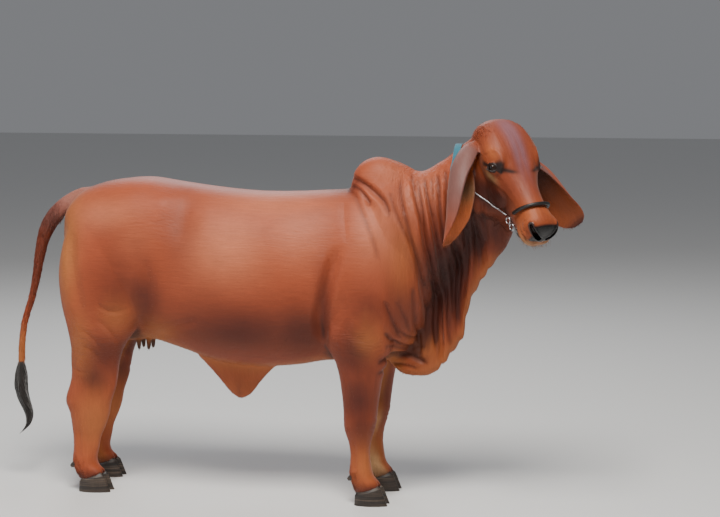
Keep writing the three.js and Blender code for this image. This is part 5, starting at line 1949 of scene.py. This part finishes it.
def build_tufts(name, roots, start, end, normals, length, width, rows=5):
    """Joined tapered tufts: start and end are the ways they set off and arrive, with their own lengths."""
    count = len(roots)
    t = np.linspace(0, 1, rows)[None, :, None]
    reach = np.asarray(length, float)[:, None, None]
    path = roots[:, None] + reach * ((t - t * t / 2) * start[:, None] + t * t / 2 * end[:, None])
    along = unit((1 - t) * start[:, None] + t * end[:, None])
    across = unit(np.cross(along, normals[:, None] + 1e-4))
    lift = np.cross(across, along)
    taper = np.sqrt(np.clip(1 - t**1.6, 0, 1)) * np.minimum(1, 0.55 + 2.2 * t)
    half = 0.5 * np.asarray(width, float)[:, None, None] * taper
    corners = [path + across * half, path - across * half, path + lift * half * 0.9]
    body = np.stack([c[:, :-1] for c in corners], axis=2).reshape(count, -1, 3)
    points = np.concatenate([body, path[:, -1:]], axis=1)
    each = points.shape[1]
    triangles = [(2, 1, 0)]
    for row in range(rows - 2):
        for side in range(3):
            a, b = row * 3 + side, row * 3 + (side + 1) % 3
            triangles += [(a, b, b + 3), (a, b + 3, a + 3)]
    last = (rows - 2) * 3
    triangles += [(last + side, last + (side + 1) % 3, each - 1) for side in range(3)]
    triangles = np.array(triangles)[None] + (np.arange(count) * each)[:, None, None]
    made = triangle_object(name, points.reshape(-1, 3), triangles.reshape(-1, 3))
    share = np.append(np.repeat(t[0, :-1, 0], 3), 1.0)
    sideways = np.append(np.tile([0.0, 1.0, 0.5], rows - 1), 0.5)
    put_bake_places(made, roots, share, sideways)
    return made, each, np.tile(share, count)


# How far under the skin each tuft is rooted
SUNK = 0.8


class Coat:
    """Roots scattered on the skin, with the colour and the lie of the hair there."""

    def __init__(self, surface, colour, bare, ear):
        self.surface = surface
        tri = surface.triangles
        first, second, third = (surface.points[tri[:, k]] for k in range(3))
        self.middles = surface.points[tri].mean(axis=1)
        self.areas = np.linalg.norm(np.cross(second - first, third - first), axis=1) / 2
        self.faces = unit(surface.normals[tri].mean(axis=1))
        self.colour = colour
        self.face_ear = ear[tri, 0].mean(axis=1)
        self.face_cup = ear[tri, 1].mean(axis=1)
        self.face_bare = bare[tri].max(axis=1)
        self.in_head = in_head(self.middles)
        self.on_head = head_share(self.middles)

    def scatter(self, count, density):
        """Roots drawn by area and by a density for every triangle of the skin."""
        weights = self.areas * np.asarray(density, float)
        picked = rng.choice(len(weights), size=count, p=weights / weights.sum())
        a, b = rng.random((2, count))
        over = a + b > 1
        a[over], b[over] = 1 - a[over], 1 - b[over]
        corner = self.surface.triangles[picked]
        shares = np.stack([1 - a - b, a, b], axis=1)[..., None]
        roots = (self.surface.points[corner] * shares).sum(1)
        normals = unit((self.surface.normals[corner] * shares).sum(1))
        colour = (self.colour[corner] * shares).sum(1)
        return roots, normals, colour, self.face_ear[picked]

    def grow(self, name, count, density, length, width, lift, rows=4, droop=0.25, lighter=1.0, mess=0.18):
        """A piece of tufts; lift is how far they stand off the skin and droop how far their tips hang."""
        roots, normals, colour, ear = self.scatter(count, density)
        lie = unit(hair_lie(roots, ear))
        lie = unit(lie + rng.normal(0, mess, lie.shape))
        lie = unit(lie - normals * (lie * normals).sum(1)[:, None])
        start = unit(lie + normals * lift * rng.uniform(0.6, 1.5, (count, 1)))
        end = unit(lie - normals * 0.06 + np.array([0, 0, -droop]))
        size = length * rng.uniform(0.65, 1.35, count)
        wide = width * rng.uniform(0.7, 1.3, count)
        made, each, share = build_tufts(name, roots - normals * SUNK, start, end, normals, size, wide, rows)
        shade = lighter * rng.uniform(0.8, 1.25, (count, 1))
        colour = np.repeat(np.clip(colour * shade, 0, 1), each, axis=0) * (0.92 + 0.2 * share)[:, None]
        put_attribute(made, "coat_colour", colour)
        put_attribute(made, "bare", np.zeros(len(colour)))
        put_attribute(made, "loose", np.zeros(len(colour)))
        put_attribute(made, "hair_place", hair_place(vertices_of(made), np.repeat(ear, each)))
        dress(made, "coat")


def hair_lie(points, ear):
    """The way the hair lies: back along the trunk, down the limbs, neck and tail, down the face and ears."""
    x, _, z = points.T
    on_head = (head_share(points) * (ear < 0.5))[:, None]
    down = np.maximum(rise(z, 700, 520), 0.75 * rise(x, 240, 420))
    down = np.maximum(down, rise(x, -820, -900))[:, None]
    lie = mix(np.array([-1.0, 0, -0.35]), np.array([-0.12, 0, -1.0]), down)
    lie = mix(lie, head_way(1, 0, -0.25), on_head)
    return np.where((ear > 0.5)[:, None], np.array([0.0, 0, -1.0]), lie)


coat = Coat(Surface(skin), skin_colour, skin_bare, skin_ear)
mx, _, mz = coat.middles.T
facing_down = rise(coat.faces[:, 2], -0.25, -0.8)
off_head = (coat.on_head < 0.3) & (coat.face_ear < 0.5)
hx, hy, hz = coat.in_head.T
on_ear = coat.face_ear > 0.5
on_face = (coat.on_head > 0.5) & ~on_ear & (coat.face_bare < 0.2)
eye_gap = eye_distance(coat.in_head)

# Tufts in each of the two pieces of the body's coat. As many tufts as one piece can
# hold
BODY_TUFTS = 12300
body_density = off_head * (0.5 + 0.8 * facing_down) * rise(mz, 60, 110)
coat.grow("body_tufts_a", BODY_TUFTS, body_density * (mx > -250), 12, 1.0, 0.05, lighter=1.08)
coat.grow("body_tufts_b", BODY_TUFTS, body_density * (mx <= -250), 12, 1.0, 0.05, lighter=1.08)
edge = facing_down * off_head * ((mz < 640) | (mx > 380)) * rise(mz, 330, 380)
coat.grow("underline_hair", 7500, edge, 12, 0.7, 0.12, droop=0.5)
leg_back = off_head * (mz < 520) * rise(coat.faces[:, 0], 0.1, -0.7) * rise(mz, 62, 80)
coat.grow("leg_hair", 6400, leg_back, 13, 0.9, 0.13, droop=0.6, lighter=1.05)
fetlock = off_head * rise(mz, 160, 120) * rise(coat.faces[:, 0], 0.3, -0.4)
coat.grow("fetlock_hair", 3600, fetlock, 17, 0.9, 0.2, droop=0.8)
coronet = off_head * rise(mz, 100, 84)
coat.grow("coronet_hair", 7000, coronet, 11, 0.8, 0.08, droop=0.6)
coat.grow("tail_hair", 3600, off_head * (mx < -905), 24, 1.3, 0.12, droop=0.5)
poll = on_face * (rise(hx, 60, 0) * rise(hz, -120, -60) + 0.15)
coat.grow("poll_hair", 6400, poll * (eye_gap > 34), 9, 0.8, 0.14)
face = on_face * (eye_gap > 30) * rise(hx, 445, 425)
coat.grow("face_hair", 9000, face, 7, 0.7, 0.08)
whisker = on_face * rise(hx, 380, 420) * (rise(hz, -96, -120) + 0.25)
coat.grow("whiskers", 160, whisker, 24, 0.45, 0.9, rows=5, mess=0.4, lighter=1.1)
coat.grow("ear_back_hair", 4800, on_ear & (coat.face_cup < 0.5), 9, 0.8, 0.08)
coat.grow("ear_inner_hair", 4200, on_ear & (coat.face_cup > 0.5), 13, 0.7, 0.16, lighter=1.1)
ear_root = bump(hx, 24, 36) * bump(np.abs(hy), 84, 22) * bump(hz, -50, 40)
ear_root *= (coat.on_head > 0.5) & (coat.face_ear < 0.6)
coat.grow("ear_root_hair", 900, ear_root, 17, 1.0, 0.4, mess=0.5, lighter=1.25)

LASHES = 70


def grow_lashes():
    """A row of short black lashes along each upper lid."""
    rows = []
    for way in (-1, 1):
        centre, axes = eye_frame(way)
        a = np.linspace(-15, 14, LASHES) + rng.normal(0, 0.3, LASHES)
        b = almond(a)[0] + 0.6
        c = np.sqrt(np.maximum(16, LID_RADIUS**2 - a**2 - b**2))
        out = unit(np.stack([a, b, c], axis=1)) @ axes.T
        rows.append((
            centre + out * (EYE_RADIUS + 3.6),
            unit(out + 0.35 * axes[:, 1]),
            unit(out * 0.4 - 0.9 * axes[:, 1] + 0.05 * a[:, None] * axes[:, 0]),
            np.tile(axes[:, 1], (LASHES, 1)),
        ))
    roots, starts, ends, outs = (np.concatenate(part) for part in zip(*rows))
    count = len(roots)
    size, width = rng.uniform(9, 14, count), rng.uniform(0.5, 0.8, count)
    made, each, share = build_tufts("eyelashes", roots, starts, ends, outs, size, width)
    put_attribute(made, "strand", np.repeat(rng.random(count), each))
    put_attribute(made, "along", share)
    dress(made, "switch_hair")


grow_lashes()


SWITCH_PATH = [
    (-1088, -8, 470), (-1092, -8, 405), (-1092, -8, 358), (-1087, -8, 325), (-1074, -8, 288),
    (-1061, -8, 250), (-1066, -8, 215), (-1085, -8, 190), (-1099, -8, 176),
]
switch_sizes = smooth_table("share half", [[0, 12], [0.15, 23], [0.35, 26], [0.6, 20], [0.8, 12], [1, 3]])
SWITCH_LOCKS = 620


def grow_switch():
    """Long black locks along the end of the tail, each ending at a height of its own."""
    line = curve_points(SWITCH_PATH, FINE_STEPS)
    count, rows, sides = SWITCH_LOCKS, 14, 3
    begin = rng.uniform(0, 0.5, count) ** 1.3
    finish = np.clip(begin + rng.uniform(0.34, 0.62, count), 0, 1)
    turn = rng.uniform(0, 2 * math.pi, count)
    depth = np.sqrt(rng.uniform(0.05, 1, count))
    t = np.linspace(0, 1, rows)
    at_share = begin[:, None] + (finish - begin)[:, None] * t
    steps = np.linspace(0, 1, FINE_STEPS)
    middle = np.stack([np.interp(at_share, steps, line[:, k]) for k in range(3)], axis=-1)
    swing = turn[:, None] + 0.7 * t + 0.25 * np.sin(5 * t + turn[:, None] * 3)
    spread = 0.35 + 0.65 * np.sin(math.pi * (0.12 + 0.7 * t))
    radius = switch_sizes(at_share)["half"] * depth[:, None] * spread
    offset = np.stack([np.cos(swing) * radius, np.sin(swing) * radius, 0 * radius], axis=-1)
    place = middle + offset
    along = unit(np.gradient(place, axis=1))
    out = unit(offset + 1e-6)
    across = unit(np.cross(along, out))
    lift = np.cross(across, along)
    taper = (0.3 + 0.7 * np.sin(math.pi * t**0.8))[None, :] * rng.uniform(1.4, 3.2, (count, 1))
    turns = np.array([0.4, 2.5, 4.7])[:, None]
    section = across[:, :, None] * np.cos(turns) + 0.6 * lift[:, :, None] * np.sin(turns)
    body = (place[:, :, None] + taper[..., None, None] * section).reshape(count, -1, 3)
    points = np.concatenate([body, place[:, :1], place[:, -1:] + along[:, -1:] * 6], axis=1)
    each = rows * sides + 2
    triangles = []
    for side in range(sides):
        other = (side + 1) % sides
        last = (rows - 1) * sides
        triangles += [(other, side, rows * sides), (last + side, last + other, each - 1)]
        for row in range(rows - 1):
            a, b = row * sides + side, row * sides + other
            triangles += [(a, b, b + sides), (a, b + sides, a + sides)]
    triangles = (np.array(triangles)[None] + (np.arange(count) * each)[:, None, None]).reshape(-1, 3)
    made = triangle_object("switch_locks", points.reshape(-1, 3), triangles)
    share = np.concatenate([np.repeat(t, sides), [0, 1]])
    put_attribute(made, "strand", np.repeat(rng.random(count), each))
    put_attribute(made, "along", np.tile(share, count))
    sideways = np.concatenate([np.tile([0, 0.5, 1], rows), [0.5, 0.5]])
    put_bake_places(made, place[:, 0], share, sideways)
    dress(made, "switch_hair", "tail_switch")


grow_switch()


# Camera: as the photo's, seen from her right
IMAGE_WIDTH = 720
IMAGE_HEIGHT = 517
FOCAL_PIXELS = 1790
HORIZON_ROW = 58
CAMERA_TURN = math.radians(12)
CAMERA_AWAY = 6.5
CAMERA_ASIDE = 0.22
CAMERA_HEIGHT = 1.6
SENSOR_WIDTH = 36


def build_camera():
    right = Vector((math.cos(CAMERA_TURN), math.sin(CAMERA_TURN), 0))
    level = Vector((-math.sin(CAMERA_TURN), math.cos(CAMERA_TURN), 0))
    dip = math.atan((IMAGE_HEIGHT / 2 - HORIZON_ROW) / FOCAL_PIXELS)
    place = Vector(TRACK) - level * CAMERA_AWAY + right * CAMERA_ASIDE + Vector((0, 0, CAMERA_HEIGHT))
    looking = level * math.cos(dip) - Vector((0, 0, 1)) * math.sin(dip)
    bpy.ops.object.camera_add(location=place)
    camera = bpy.context.object
    camera.name = "camera"
    camera.rotation_euler = looking.to_track_quat("-Z", "Y").to_euler()
    camera.data.sensor_width = SENSOR_WIDTH
    camera.data.lens = SENSOR_WIDTH * FOCAL_PIXELS / IMAGE_WIDTH
    camera.data.clip_end = 60
    bpy.context.scene.camera = camera


build_camera()


# Floor and light
WORLD_STRENGTH = 0.22
# Name, place, size, watts and tint
LIGHTS = [
    ("key", (0.6, -2.9, 5.4), 2.4, 470, (1.0, 0.96, 0.9)),
    ("fill", (-4.5, -3.4, 2.6), 3.0, 60, (0.93, 0.96, 1.0)),
    ("rim", (-1.5, 4.0, 4.5), 2.5, 110, (0.95, 0.97, 1.0)),
]
LIT_PLACE = Vector((0, 0, 0.8))


def build_studio():
    bpy.ops.mesh.primitive_plane_add(size=60, location=(0, 0, 0))
    floor = bpy.context.object
    floor.name = "floor"
    pale = bpy.data.materials.new("pale_floor")
    pale.use_nodes = True
    shader = pale.node_tree.nodes["Principled BSDF"]
    shader.inputs["Base Color"].default_value = (0.72, 0.72, 0.71, 1)
    shader.inputs["Roughness"].default_value = 0.9
    floor.data.materials.append(pale)
    world = bpy.data.worlds.new("studio")
    world.use_nodes = True
    sky = world.node_tree.nodes["Background"]
    sky.inputs["Color"].default_value = (0.93, 0.95, 1.0, 1)
    sky.inputs["Strength"].default_value = WORLD_STRENGTH
    bpy.context.scene.world = world
    for name, place, size, watts, tint in LIGHTS:
        bpy.ops.object.light_add(type="AREA", location=place)
        light = bpy.context.object
        light.name = name
        light.data.size = size
        light.data.energy = watts
        light.data.color = tint
        light.rotation_euler = (LIT_PLACE - Vector(place)).to_track_quat("-Z", "Y").to_euler()


build_studio()
